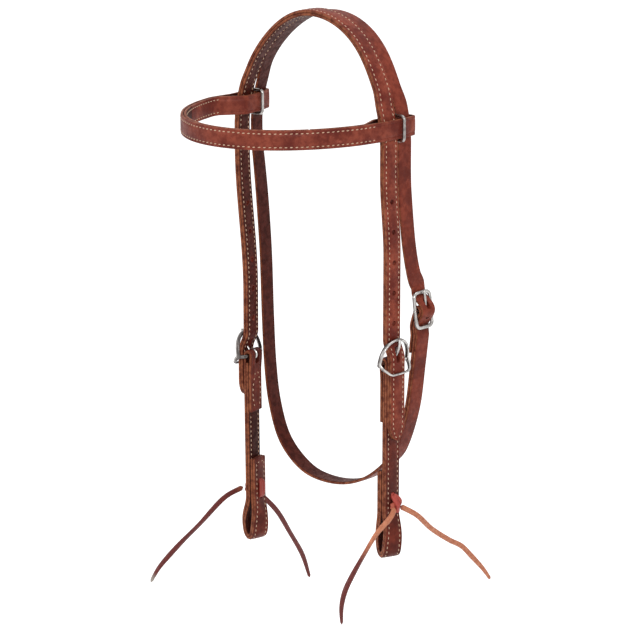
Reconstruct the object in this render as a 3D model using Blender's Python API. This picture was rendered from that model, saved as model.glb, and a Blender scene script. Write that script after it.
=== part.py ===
"""A western headstall: split crown, doubled cheeks with buckles, browband, throatlatch, tied bit ends.

Metres, +Z up, +X towards the horse's left (the near side), -Y towards its forehead.
The origin is on the underside of the crown, at the top of the poll.
"""
import math
from collections import namedtuple

import bmesh
import bpy
from mathutils import Matrix, Vector

# Leather
STRAP_WIDTH = 0.016
THROAT_WIDTH = 0.015
LEATHER = 0.0024
GAP = 0.0003
DOUBLED = 2 * LEATHER + GAP
PLY = LEATHER + GAP

# Crown: half of an ellipse over the poll, slit into cheek and throat billets
CHEEK_OUT = 0.0835
CROWN_RISE = 0.098
CROWN_LEAN = 0.0045
STRAIGHT_DROP = 0.118
THROAT_SETTLED = 0.186
SPLIT_DROP = 0.050
SPREAD_LENGTH = 0.016
FAR_TUCK_WIDTH = 0.0033
ARCH_STEPS = 15
SPLIT_STEPS = 6
STRAIGHT_STEP = 0.012
BEND_STEP = 0.003

# Billets
BILLET_TIP_DROP = 0.3400
BILLET_TIP_LENGTH = 0.015
BILLET_HOLES = 5
HOLE_PITCH = 0.0254
HOLE_WIDTH = 0.0042
USED_HOLE_RISE = 0.0075
USED_HOLE_LENGTH = 0.0134
TIP_SHARES = (0.0, 0.35, 0.65, 0.87, 1.0)
TIP_WIDTH = 0.0016

# Lower cheeks
CHAPE_LENGTH = 0.050
CHAPE_CLOSE_RUN = 0.0160
CHAPE_CLOSE_STEPS = 6
LINING_DROP = 0.0070
LOWER_LENGTH = 0.1685
LOOP_RETURN = 0.070
LOOP_HEIGHT = 0.0360
LOOP_OUTER_BULGE = 0.0049
LOOP_INNER_BULGE = 0.0027
LOOP_BOTTOM_RISE = 0.0100
LOOP_TWIST = math.radians(-20.0)
LOOP_STEPS = 14
BOTTOM_STEPS = 7

# Cheek buckle, a half round frame with a bar and a raised keeper
BAR_RADIUS = 0.00175
FRAME_RADIUS = 0.0020
FRAME_HALF = 0.0162
FRAME_RISE = 0.0195
KEEPER_DROP = 0.0080
KEEPER_RADIUS_SHARE = 0.8
FRAME_SHARES = ((0.0, 1.0), (0.30, 0.97), (0.57, 0.86), (0.89, 0.54), (1.0, 0.15))
KEEPER_SHARES = ((0.98, 0.30), (0.85, 0.76), (0.62, 0.98), (0.0, 1.0))
TONGUE_RADIUS = 0.0012
TONGUE_SLOT = 0.0052
TONGUE_OVERHANG = 0.0016
ARCH_CLEARANCE = 0.0006
TONGUE_RISE_SHARES = ((0.9, 0.45), (0.73, 0.44), (0.97, 0.84))

# Throatlatch and its buckle
THROAT_DROP = 0.4040
TURN_SHARES = (0.55, 0.95)
THROAT_BUCKLE = Vector((0.0925, 0.0250, -0.2353))
THROAT_TURN = math.radians(1.0)
FAR_THROAT_TURN = math.radians(7.0)
THROAT_LEAN = math.radians(8.0)
THROAT_WIRE = 0.0016
THROAT_HALF_WIDTH = 0.0094
THROAT_HALF_HEIGHT = 0.0144
THROAT_CORNER = 0.0040
THROAT_TONGUE = 0.0011
THROAT_TAIL_ROWS = 9
THROAT_USED_SHARES = (0.37, 0.70)
UPPER_HOLE_DROP = 0.2030
MIDDLE_HOLE_DROP = 0.2735
LOWER_HOLE_DROP = 0.2975
THROAT_BULGE_SHARE = 1.45
THROAT_BULGE_STEPS = 12
THROAT_CHAPE_LENGTH = 0.040

# Browband, centred at its drop below the poll, and the wire rings round its loops
BAND_DROP = 0.0815
BAND_REACH = 0.1295
BAND_CENTRE = 0.014
BAND_START = math.radians(14.0)
BAND_FOLD_SHARE = 0.46
BAND_CONVERGE_SHARE = 0.07
BAND_JOINT_SHARE = 0.06
BAND_EASE = 0.0030
BAND_BACK_EASE = 0.0009
BAND_CORNER = 0.0017
BAND_STEPS = 30
RING_WIRE = 0.0013
RING_CORNER = 0.0030
RING_EASE = 0.0008

# Laces through the bit ends
LACE_RADIUS = 0.0020
KNOT_RADIUS = 0.0043
LACE_LOW_HEIGHT = 0.0405
LACE_HIGH_HEIGHT = 0.0555
LACE_TAIL_RADIUS = 0.0023
KNOT_SHARES = (0.0, 0.15, 0.32, 0.5, 0.68, 0.85)
TUBE_SIDES = 10

RING_SLOT = 2 * (RING_WIRE + 2 * GAP)
BAR_OUT = PLY - BAR_RADIUS - GAP
FOLD_OUTER = BAR_RADIUS + GAP + LEATHER
BILLET_SHIFT = BAR_OUT + FOLD_OUTER + GAP

# Each side hangs a little differently: where its cheek is from front to back, and how it is turned
NEAR_BAR_DROP = 0.2750
NEAR_BACK = -0.0055
FAR_BAR_DROP = 0.3030
FAR_BACK = 0.0010
FAR_SETTLED_DROP = 0.245
FAR_TURN = math.radians(11.0)
FAR_DRIFT = 0.015
Side = namedtuple("Side", "name sign bar_drop middle settled turn drift tuck")
NEAR = Side("near", 1.0, NEAR_BAR_DROP, NEAR_BACK, THROAT_SETTLED, 0.0, 0.0, 0.0)
FAR = Side("far", -1.0, FAR_BAR_DROP, FAR_BACK, FAR_SETTLED_DROP, FAR_TURN, FAR_DRIFT,
           FAR_TUCK_WIDTH)
SIDES = (NEAR, FAR)

# Free lace tails, from the knot outwards: points chosen along each hanging lace
LACE_TAILS = {
    "near_front_lace_tail": ((0.0947, -0.0094, -0.3976), (0.0985, -0.0190, -0.4030),
                             (0.0960, -0.0323, -0.4140), (0.0940, -0.0436, -0.4280),
                             (0.0930, -0.0577, -0.4447), (0.0930, -0.0661, -0.4562),
                             (0.0930, -0.0700, -0.4690), (0.0930, -0.0696, -0.4836)),
    "near_rear_lace_tail": ((0.0939, -0.0017, -0.3980), (0.0970, 0.0150, -0.4090),
                            (0.0940, 0.0360, -0.4265), (0.0930, 0.0591, -0.4424),
                            (0.0930, 0.0746, -0.4516), (0.0930, 0.0871, -0.4634),
                            (0.0930, 0.1028, -0.4794), (0.0930, 0.1123, -0.4912)),
    "far_front_lace_tail": ((-0.0936, -0.0033, -0.4246), (-0.0950, -0.0250, -0.4300),
                            (-0.0930, -0.0552, -0.4456), (-0.0920, -0.0793, -0.4574),
                            (-0.0920, -0.1005, -0.4705), (-0.0920, -0.1090, -0.4783),
                            (-0.0920, -0.1132, -0.4838)),
    "far_rear_lace_tail": ((-0.0938, 0.0049, -0.4265), (-0.0955, 0.0210, -0.4385),
                           (-0.0920, 0.0363, -0.4556), (-0.0920, 0.0526, -0.4800),
                           (-0.0920, 0.0678, -0.5043), (-0.0920, 0.0769, -0.5280)),
}
TAIL_STEP = 0.010


def clear_scene():
    """Remove whatever the file holds."""
    for item in list(bpy.data.objects):
        bpy.data.objects.remove(item)


def material(name, colour, roughness, metallic=0.0):
    """A plain principled material."""
    made = bpy.data.materials.new(name)
    made.use_nodes = True
    shader = made.node_tree.nodes["Principled BSDF"]
    shader.inputs["Base Color"].default_value = (*colour, 1.0)
    shader.inputs["Roughness"].default_value = roughness
    shader.inputs["Metallic"].default_value = metallic
    return made


def add_object(name, bm, surface, smooth=False):
    """Close off a bmesh as a named object."""
    bmesh.ops.recalc_face_normals(bm, faces=bm.faces)
    mesh = bpy.data.meshes.new(name)
    bm.to_mesh(mesh)
    bm.free()
    mesh.materials.append(surface)
    if smooth:
        mesh.shade_smooth()
    made = bpy.data.objects.new(name, mesh)
    bpy.context.collection.objects.link(made)
    return made


def pivot(item, point):
    """Put an object's origin on the axis that it moves about, without moving its shape."""
    item.data.transform(Matrix.Translation(-point))
    item.location = point


def ease(value, start, end):
    """Rise smoothly from 0 to 1 between start and end."""
    share = min(max((value - start) / (end - start), 0.0), 1.0)
    return share * share * (3.0 - 2.0 * share)


def spread(start, end, count):
    """Evenly spaced values, both ends included."""
    return [start + (end - start) * step / count for step in range(count + 1)]


def smooth_route(points, step, closed=False):
    """Points of an even smooth curve through the given ones."""
    points = [Vector(point) for point in points]
    if closed:
        guide = points[-1:] + points + points[:2]
    else:
        guide = [points[0] * 2 - points[1]] + points + [points[-1] * 2 - points[-2]]
    route = [points[0]]
    for a, b, c, d in zip(guide, guide[1:], guide[2:], guide[3:]):
        count = max(1, round((c - b).length / step))
        for share in spread(0.0, 1.0, count)[1:]:
            curve = (2 * b + (c - a) * share + (2 * a - 5 * b + 4 * c - d) * share ** 2
                     + (3 * b - a - 3 * c + d) * share ** 3)
            route.append(curve / 2)
    return route[:-1] if closed else route


def turned(angle):
    """The level direction across a strap that is turned about the vertical."""
    return Vector((-math.sin(angle), math.cos(angle), 0.0))


class Station:
    """One cross-section place of a strap: its point, the way across and the way out."""

    def __init__(self, point, across, outward, half):
        self.point = point
        self.across = across
        self.outward = outward
        self.half = half

    def corner(self, side, height):
        """A point across by a share of the half width and out by a height."""
        return self.point + self.across * (side * self.half) + self.outward * height

    def moved(self, height):
        """The same place, moved out."""
        return Station(self.point + self.outward * height, self.across, self.outward, self.half)


def stations(points, across, half, flip=False):
    """Cross-section places along points, with a way across and a half width for each."""
    count = len(points)
    if not isinstance(across, list):
        across = [across] * count
    if not isinstance(half, list):
        half = [half] * count
    made = []
    for index, point in enumerate(points):
        tangent = (points[min(index + 1, count - 1)] - points[max(index - 1, 0)]).normalized()
        way = (across[index] - tangent * across[index].dot(tangent)).normalized()
        outward = tangent.cross(way) if flip else way.cross(tangent)
        made.append(Station(point, way, outward, half[index]))
    return made


def add_ribbon(bm, rows, low, high, open_side=None, shared=()):
    """Add a strap to a bmesh; rows in shared leave out the wall on open_side."""
    rings = []
    for row in rows:
        rings.append([bm.verts.new(row.corner(side, height))
                      for side, height in ((-1, low), (1, low), (1, high), (-1, high))])
    for index in range(len(rings) - 1):
        first, second = rings[index], rings[index + 1]
        walls = {"under": (0, 1), "rear": (1, 2), "upper": (2, 3), "front": (3, 0)}
        if open_side and index in shared and index + 1 in shared:
            del walls[open_side]
        for a, b in walls.values():
            bm.faces.new((first[a], first[b], second[b], second[a]))
    bm.faces.new(rings[0])
    bm.faces.new(rings[-1])


def strap(name, rows, low, high, surface):
    """A strap as an object of its own."""
    bm = bmesh.new()
    add_ribbon(bm, rows, low, high)
    return add_object(name, bm, surface)


def tube(name, points, radius, axis, surface, closed=True, sides=TUBE_SIDES):
    """A round bar along points; axis is a direction that the bar never runs along."""
    count = len(points)
    radii = radius if isinstance(radius, list) else [radius] * count
    bm = bmesh.new()
    rings = []
    for index, point in enumerate(points):
        if closed:
            tangent = points[(index + 1) % count] - points[index - 1]
        else:
            tangent = points[min(index + 1, count - 1)] - points[max(index - 1, 0)]
        tangent.normalize()
        first = (axis - tangent * axis.dot(tangent)).normalized()
        second = tangent.cross(first)
        rings.append([bm.verts.new(point + (first * math.cos(turn) + second * math.sin(turn))
                                   * radii[index])
                      for turn in spread(0.0, math.tau, sides)[:-1]])
    for index in range(count if closed else count - 1):
        first, second = rings[index], rings[(index + 1) % count]
        for side in range(sides):
            after = (side + 1) % sides
            bm.faces.new((first[side], first[after], second[after], second[side]))
    if not closed:
        bm.faces.new(rings[0])
        bm.faces.new(rings[-1])
    return add_object(name, bm, surface, smooth=True)


def place(points, matrix):
    """Points in a piece's own axes moved into the world."""
    return [matrix @ Vector(point) for point in points]


def cut(target, cutter):
    """Take a cutter's shape out of a target."""
    cutter.hide_render = True
    cutter.display_type = "WIRE"
    modifier = target.modifiers.new(f"cut by {cutter.name}", "BOOLEAN")
    modifier.operation = "DIFFERENCE"
    modifier.solver = "EXACT"
    modifier.object = cutter


def join(target, piece):
    """Weld a guide piece onto a target."""
    piece.hide_render = True
    piece.display_type = "WIRE"
    modifier = target.modifiers.new(f"joined with {piece.name}", "BOOLEAN")
    modifier.operation = "UNION"
    modifier.solver = "EXACT"
    modifier.object = piece


def punch(name, centre, outward, along, length, depth, width=HOLE_WIDTH):
    """A cutter for a hole, round where its length is its width and longer along the strap if not."""
    bm = bmesh.new()
    radius = width / 2 / math.cos(math.tau / 16)
    reach = max((length - width) / 2, 0.0)
    across = along.cross(outward).normalized()
    outline = []
    for turn in spread(0.0, math.tau, 8)[:-1]:
        angle = turn + math.tau / 16
        offset = along * (math.sin(angle) * radius + math.copysign(reach, math.sin(angle)))
        outline.append(centre + across * (math.cos(angle) * radius) + offset)
    bottom = [bm.verts.new(point - outward * depth) for point in outline]
    top = [bm.verts.new(point + outward * depth) for point in outline]
    bm.faces.new(bottom)
    bm.faces.new(top)
    for index in range(len(outline)):
        after = (index + 1) % len(outline)
        bm.faces.new((bottom[index], bottom[after], top[after], top[index]))
    return add_object(name, bm, None)


def crown_out(side, drop):
    """How far the crown's inner face is from the middle, at a drop below the poll."""
    up = 1.0 - min(drop, CROWN_RISE) / CROWN_RISE
    out = math.sqrt(1.0 - up * up)
    return CHEEK_OUT * out - 2.0 * side.tuck * out * up


def arch_rows(centre, half):
    """Places over the poll from the near split to the far one."""
    limit = math.acos(1.0 - SPLIT_DROP / CROWN_RISE)
    angles = spread(limit, -limit, ARCH_STEPS)
    lift = CROWN_RISE * (1.0 - math.cos(limit / ARCH_STEPS))
    rows = []
    for angle in angles:
        drop = CROWN_RISE * (1.0 - math.cos(angle))
        lean = CROWN_LEAN * (1.0 - ease(drop, 0.0, SPLIT_DROP))
        across = turned(FAR.turn * ease(-angle, limit / ARCH_STEPS, limit))
        side = NEAR if angle > 0.0 else FAR
        out = side.sign * crown_out(side, drop)
        point = Vector((out, lean, lift - drop)) + across * centre
        out_rate = CHEEK_OUT * math.cos(angle) - 2.0 * side.tuck * math.cos(2.0 * angle)
        tangent = Vector((out_rate, 0.0, -CROWN_RISE * math.sin(angle)))
        rows.append(Station(point, across, tangent.cross(across).normalized(), half))
    return rows


def beside_slot(drop, width):
    """How far a split strap's middle is from the slit at a drop, once it has spread for the ring."""
    return (width + RING_SLOT * ease(drop, SPLIT_DROP, SPLIT_DROP + SPREAD_LENGTH)) / 2


def split_drops():
    """Drops from just under the split to where the straps hang straight."""
    start = math.acos(1.0 - SPLIT_DROP / CROWN_RISE)
    return [CROWN_RISE * (1.0 - math.cos(angle))
            for angle in spread(start, math.pi / 2, SPLIT_STEPS)[1:]]


def billet_frame(side, drop):
    """Place and way across of a cheek billet at a drop below the poll."""
    beside = beside_slot(drop, STRAP_WIDTH)
    middle = -beside + (side.middle + beside) * ease(drop, STRAIGHT_DROP, side.settled)
    across = turned(side.turn)
    outward = Vector((across.y, -across.x, 0.0)) * side.sign
    shift = BILLET_SHIFT * ease(drop, side.bar_drop - FRAME_RISE, side.bar_drop - BEND_STEP)
    out = side.sign * crown_out(side, drop)
    point = Vector((out, 0.0, -drop)) + across * middle + outward * shift
    return point, across


def billet_drops(side):
    """Drops of a cheek billet's places, from the split down to its tip, with their half widths."""
    bend_start = side.bar_drop - FRAME_RISE
    bend_end = side.bar_drop
    tip_end = BILLET_TIP_DROP
    tip_start = tip_end - BILLET_TIP_LENGTH
    straight = round((bend_start - CROWN_RISE) / STRAIGHT_STEP)
    bend = round((bend_end - bend_start) / BEND_STEP)
    tail = round((tip_start - bend_end) / STRAIGHT_STEP)
    drops = split_drops()
    drops += spread(CROWN_RISE, bend_start, straight)[1:]
    drops += spread(bend_start, bend_end, bend)[1:]
    drops += spread(bend_end, tip_start, tail)[1:]
    halves = [STRAP_WIDTH / 2] * len(drops)
    for share in TIP_SHARES[1:]:
        drops.append(tip_start + BILLET_TIP_LENGTH * share)
        halves.append(max(STRAP_WIDTH / 2 * math.sqrt(1.0 - share * share), TIP_WIDTH / 2))
    return drops, halves


def front_rows():
    """Places of the front half of the crown from the near billet's tip to the far billet's."""
    legs = {}
    for side in SIDES:
        drops, halves = billet_drops(side)
        places = [billet_frame(side, drop) for drop in drops]
        if side is NEAR:
            places.reverse()
            halves.reverse()
        legs[side.name] = (places, halves)
    arch = arch_rows(-STRAP_WIDTH / 2, STRAP_WIDTH / 2)
    near, near_halves = legs["near"]
    far, far_halves = legs["far"]
    points = [p for p, way in near] + [row.point for row in arch] + [p for p, way in far]
    across = ([way for p, way in near] + [row.across for row in arch]
              + [way for p, way in far])
    rows = stations(points, across, near_halves + [STRAP_WIDTH / 2] * len(arch) + far_halves)
    rows[len(near):len(near) + len(arch)] = arch
    return rows, range(len(near), len(near) + len(arch))


def throat_matrix():
    """The throat buckle's own axes: out, across and up, from the middle of its bar."""
    return (Matrix.Translation(THROAT_BUCKLE) @ Matrix.Rotation(THROAT_TURN, 4, "Z")
            @ Matrix.Rotation(-THROAT_LEAN, 4, "Y"))


def throat_bulge(height):
    """How far out the billet's inner face stands at a height above the throat buckle's bar."""
    low = -(THROAT_WIRE + 2 * GAP + LEATHER)
    high = THROAT_WIRE + GAP + PLY
    reach = min(abs(height) / THROAT_HALF_HEIGHT, 1.0)
    return low + (high - low) * (1.0 + math.cos(math.pi * reach)) / 2


def throat_local(heights, inset):
    """World points along the billet's inner face at heights above the bar, moved in by inset."""
    matrix = throat_matrix()
    flat = [Vector((throat_bulge(height), 0.0, height)) for height in heights]
    rows = stations(flat, Vector((0.0, 1.0, 0.0)), THROAT_WIDTH / 2, flip=heights[0] > heights[-1])
    return place([row.point - row.outward * inset for row in rows], matrix)


def share_points(shares):
    """Points given as shares of the cheek's distance, the throat's width and its drop."""
    return [Vector((out * CHEEK_OUT, back * THROAT_WIDTH, -down * THROAT_DROP))
            for out, back, down in shares]


# Places along the throat straps: out by the cheeks' distance, back by the strap's width and down
NEAR_BILLET_SHARES = ((1.003, 0.68, 0.34), (1.012, 0.95, 0.44), (1.030, 1.24, 0.505))
FAR_THROAT_SHARES = ((-1.005, 0.68, 0.33), (-1.012, 0.98, 0.42), (-1.012, 1.23, 0.54),
                     (-0.985, 1.22, 0.67), (-0.953, 1.23, 0.78), (-0.925, 1.45, 0.868),
                     (-0.80, 1.60, 0.943), (-0.51, 1.62, 0.989), (-0.18, 1.63, 1.0),
                     (0.18, 1.63, 0.988), (0.50, 1.64, 0.953), (0.76, 1.66, 0.895),
                     (0.935, 1.68, 0.80), (1.01, 1.69, 0.70))


def throat_beside(side, drops):
    """Places of a throat strap beside its cheek billet, where the browband holds them."""
    return [Vector((side.sign * crown_out(side, drop), 0.0, -drop))
            + turned(side.turn) * beside_slot(drop, THROAT_WIDTH) for drop in drops]


def long_strap_rows():
    """Places of the far throat strap, down, under the throat and up to the near buckle's bar."""
    heights = spread(-THROAT_BULGE_SHARE * THROAT_HALF_HEIGHT, 0.0, THROAT_BULGE_STEPS)
    buckle = throat_local(heights, PLY)
    start = throat_beside(FAR, split_drops() + [STRAIGHT_DROP])
    guide = start[-1:] + share_points(FAR_THROAT_SHARES) + buckle[:1]
    loop = smooth_route(guide, STRAIGHT_STEP)
    points = start + loop[1:] + buckle[1:]
    ways = []
    for point in points:
        settle = ease(-point.z, STRAIGHT_DROP, THROAT_SETTLED)
        settled_turn = THROAT_TURN if point.x > 0 else FAR_THROAT_TURN
        turn = FAR.turn + (settled_turn - FAR.turn) * settle
        ways.append(turned(turn * ease(abs(point.x) / CHEEK_OUT, *TURN_SHARES)))
    return stations(points, ways, THROAT_WIDTH / 2), len(buckle)


def fold_points(centre_out, centre_up, radius, steps):
    """Points over a bar from its outer side to its inner side, in the buckle's own axes."""
    return [Vector((centre_out + radius * math.cos(angle), 0.0, centre_up + radius * math.sin(angle)))
            for angle in spread(0.0, math.pi, steps)]


def rear_rows():
    """Places of the rear half: near tail, near billet, crown, far strap, under and round the bar."""
    long_rows, in_buckle = long_strap_rows()
    overlap = [row.moved(PLY) for row in long_rows[-in_buckle - THROAT_TAIL_ROWS:]]
    tip, body = overlap[0], overlap[1]
    tail = []
    ways = []
    halves = []
    for share in reversed(TIP_SHARES[1:]):
        tail.append(tip.point.lerp(body.point, 1.0 - share))
        ways.append(tip.across.lerp(body.across, 1.0 - share))
        round_half = THROAT_WIDTH / 2 * math.sqrt(1.0 - share * share)
        halves.append(max(round_half, TIP_WIDTH / 2))
    tail += [row.point for row in overlap[1:]]
    ways += [row.across for row in overlap[1:]]
    halves += [THROAT_WIDTH / 2] * (len(overlap) - 1)
    heights = spread(0.0, THROAT_BULGE_SHARE * THROAT_HALF_HEIGHT, THROAT_BULGE_STEPS)
    above = throat_local(heights[1:], 0.0)
    start = throat_beside(NEAR, split_drops() + [STRAIGHT_DROP])
    guide = above[-1:] + share_points(reversed(NEAR_BILLET_SHARES)) + start[-1:]
    middle = smooth_route(guide, STRAIGHT_STEP)
    near = above + middle[1:-1] + list(reversed(start))
    for point in near:
        ways.append(turned(THROAT_TURN * ease(-point.z, STRAIGHT_DROP, THROAT_SETTLED)))
        halves.append(THROAT_WIDTH / 2)
    arch = arch_rows(THROAT_WIDTH / 2, THROAT_WIDTH / 2)
    points = tail + near + [row.point for row in arch]
    ways += [row.across for row in arch]
    halves += [THROAT_WIDTH / 2] * len(arch)
    shared = range(len(tail) + len(near), len(points))

    matrix = throat_matrix()
    fold = place(fold_points(0.0, 0.0, THROAT_WIRE + GAP, 8), matrix)
    inner = []
    run = 0.0
    for row, after in zip(reversed(long_rows), reversed(long_rows[:-1])):
        run += (row.point - after.point).length
        if run > THROAT_CHAPE_LENGTH:
            break
        if run > THROAT_WIRE + LEATHER:
            beside = 2 * GAP + 2 * THROAT_WIRE * (1.0 - ease(run, 0.0, THROAT_HALF_HEIGHT))
            inner.append(after.point - after.outward * beside)
    points += [row.point for row in long_rows] + fold[1:] + inner
    ways += [row.across for row in long_rows] + [turned(THROAT_TURN)] * (len(fold) - 1 + len(inner))
    halves += [THROAT_WIDTH / 2] * (len(long_rows) + len(fold) - 1 + len(inner))
    made = stations(points, ways, halves)
    made[shared[0]:shared[-1] + 1] = arch
    return made, shared


def crown(leather):
    """The crown strap with its four ends, and the stitched overlay of its front half."""
    front, front_shared = front_rows()
    rear, rear_shared = rear_rows()
    bm = bmesh.new()
    add_ribbon(bm, front, 0.0, LEATHER, "rear", front_shared)
    add_ribbon(bm, rear, 0.0, LEATHER, "front", rear_shared)
    bmesh.ops.remove_doubles(bm, verts=bm.verts, dist=GAP / 30)
    base = add_object("crown_strap", bm, leather)
    overlay = strap("crown_overlay", front, PLY, DOUBLED, leather)
    throat_holes(base, rear[:rear_shared[0]])
    return base, overlay


def billet_holes(base, overlay):
    """Punch the cheek billets through both layers, and the throat billet."""
    for side in SIDES:
        for index in range(BILLET_HOLES + 1):
            used = index == 0
            drop = side.bar_drop - USED_HOLE_RISE - HOLE_PITCH * index
            point, across = billet_frame(side, drop)
            outward = Vector((across.y, -across.x, 0.0)) * side.sign
            length = USED_HOLE_LENGTH if used else HOLE_WIDTH
            cutter = punch(f"{side.name} billet punch {index}", point, outward,
                           Vector((0.0, 0.0, 1.0)), length, 4 * DOUBLED)
            cut(base, cutter)
            cut(overlay, cutter)


def throat_holes(base, rows):
    """Punch the throat billet above the buckle, at its tongue and down its tail."""
    matrix = throat_matrix()
    out = (matrix.to_3x3() @ Vector((1.0, 0.0, 0.0))).normalized()
    up = (matrix.to_3x3() @ Vector((0.0, 0.0, 1.0))).normalized()
    middle, length = THROAT_USED_SHARES
    cut(base, punch("throat tongue punch", matrix @ Vector((0.0, 0.0, middle * THROAT_HALF_HEIGHT)),
                    out, up, length * THROAT_HALF_HEIGHT, 4 * DOUBLED))
    for index, drop in enumerate((UPPER_HOLE_DROP, MIDDLE_HOLE_DROP, LOWER_HOLE_DROP)):
        pairs = [(a, b) for a, b in zip(rows, rows[1:]) if a.point.z < -drop <= b.point.z]
        low, high = pairs[0]
        share = (-drop - low.point.z) / (high.point.z - low.point.z)
        centre = low.point.lerp(high.point, share) + low.outward * (LEATHER / 2)
        along = (high.point - low.point).normalized()
        cut(base, punch(f"throat billet punch {index}", centre, low.outward, along, HOLE_WIDTH,
                        LEATHER / 2 + GAP / 2))


def side_matrix(side):
    """A lower cheek's own axes: out, across and up, level with the buckle's bar."""
    turn = side.turn if side.sign > 0 else side.turn + math.pi
    middle = Vector((side.sign * CHEEK_OUT, 0.0, -side.bar_drop)) + turned(side.turn) * side.middle
    drift = Matrix.Identity(4)
    drift[1][2] = side.drift
    return Matrix.Translation(middle) @ Matrix.Rotation(turn, 4, "Z") @ drift


def bar_middle(side):
    """The middle of a cheek buckle's bar, which the lower cheek and the tongue turn about."""
    return side_matrix(side) @ Vector((BAR_OUT, 0.0, 0.0))


def lower_path():
    """The lining's inner face from its top end, round the bit loop to the returned end."""
    bottom = -LOWER_LENGTH + DOUBLED
    knot = bottom + LOOP_HEIGHT
    wide = bottom + LOOP_BOTTOM_RISE
    points = [(0.0, z) for z in spread(-LINING_DROP, knot, 6)]
    for share in spread(0.0, 1.0, LOOP_STEPS)[1:]:
        points.append((LOOP_OUTER_BULGE * ease(share, 0.0, 1.0), knot + (wide - knot) * share))
    middle = (LOOP_OUTER_BULGE - LOOP_INNER_BULGE) / 2
    half = (LOOP_OUTER_BULGE + LOOP_INNER_BULGE) / 2
    for angle in spread(0.0, math.pi, BOTTOM_STEPS)[1:-1]:
        points.append((middle + half * math.cos(angle), wide - LOOP_BOTTOM_RISE * math.sin(angle)))
    top = (-GAP, knot)
    for share in reversed(spread(0.0, 1.0, LOOP_STEPS)):
        out = top[0] - (LOOP_INNER_BULGE - GAP) * ease(share, 0.0, 1.0)
        points.append((out, knot + (wide - knot) * share))
    points.append((-GAP, bottom + LOOP_RETURN))
    return [Vector((out, 0.0, up)) for out, up in points]


def twisted(row):
    """A place of the lower cheek, with the bit loop below the lace holes turned to the front."""
    share = ease(-row.point.z, LOWER_LENGTH - LOOP_HEIGHT, LOWER_LENGTH - LOOP_BOTTOM_RISE)
    twist = Matrix.Rotation(LOOP_TWIST * share, 3, "Z")
    return Station(twist @ row.point, twist @ row.across, twist @ row.outward, row.half)


def lower_cheek(side, leather):
    """The lower cheek strap with its chape and bit loop, and the lining glued along it."""
    matrix = side_matrix(side)
    turn_back = Vector((0.0, 1.0, 0.0))
    lining_rows = [twisted(row) for row in stations(lower_path(), turn_back, STRAP_WIDTH / 2, flip=True)]
    outer = [row.point + row.outward * PLY for row in lining_rows]
    fold = list(reversed(fold_points(BAR_OUT, 0.0, BAR_RADIUS + GAP, 10)))
    inner_out = BAR_OUT - BAR_RADIUS - GAP
    chape = [Vector((inner_out - (inner_out + GAP) * ease(-up, 0.0, CHAPE_CLOSE_RUN), 0.0, up))
             for up in [-CHAPE_LENGTH] + spread(-CHAPE_CLOSE_RUN, 0.0, CHAPE_CLOSE_STEPS)[:-1]]
    points = chape + fold + outer
    ways = [turn_back] * len(chape + fold) + [row.across for row in lining_rows]
    rows = stations(points, ways, STRAP_WIDTH / 2, flip=True)
    outward = matrix.to_3x3()

    def world(items):
        return [Station(matrix @ row.point, outward @ row.across, outward @ row.outward, row.half)
                for row in items]

    strap_object = strap(f"{side.name}_cheek_strap", world(rows), 0.0, LEATHER, leather)
    lining_object = strap(f"{side.name}_cheek_lining", world(lining_rows), 0.0, LEATHER, leather)
    pivot(strap_object, bar_middle(side))
    pivot(lining_object, bar_middle(side))
    slot = box(f"{side.name} tongue slot", matrix,
               (BAR_OUT, 0.0, -BAR_RADIUS), (4 * FOLD_OUTER, TONGUE_SLOT, 2.8 * FOLD_OUTER))
    cut(strap_object, slot)
    bottom = -LOWER_LENGTH
    for index, rise in enumerate((LACE_LOW_HEIGHT, LACE_HIGH_HEIGHT)):
        hole = punch(f"{side.name} lace punch {index}", matrix @ Vector((0.0, 0.0, bottom + rise)),
                     outward @ Vector((1.0, 0.0, 0.0)), Vector((0.0, 0.0, 1.0)),
                     2 * (LACE_RADIUS + GAP), 4 * DOUBLED, 2 * (LACE_RADIUS + GAP))
        cut(strap_object, hole)
        cut(lining_object, hole)


def box(name, matrix, centre, size):
    """A rectangular cutter in a piece's own axes."""
    bm = bmesh.new()
    bmesh.ops.create_cube(bm, size=1.0)
    bmesh.ops.scale(bm, vec=Vector(size), verts=bm.verts)
    bmesh.ops.translate(bm, vec=Vector(centre), verts=bm.verts)
    bmesh.ops.transform(bm, matrix=matrix, verts=bm.verts)
    return add_object(name, bm, None)


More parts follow.
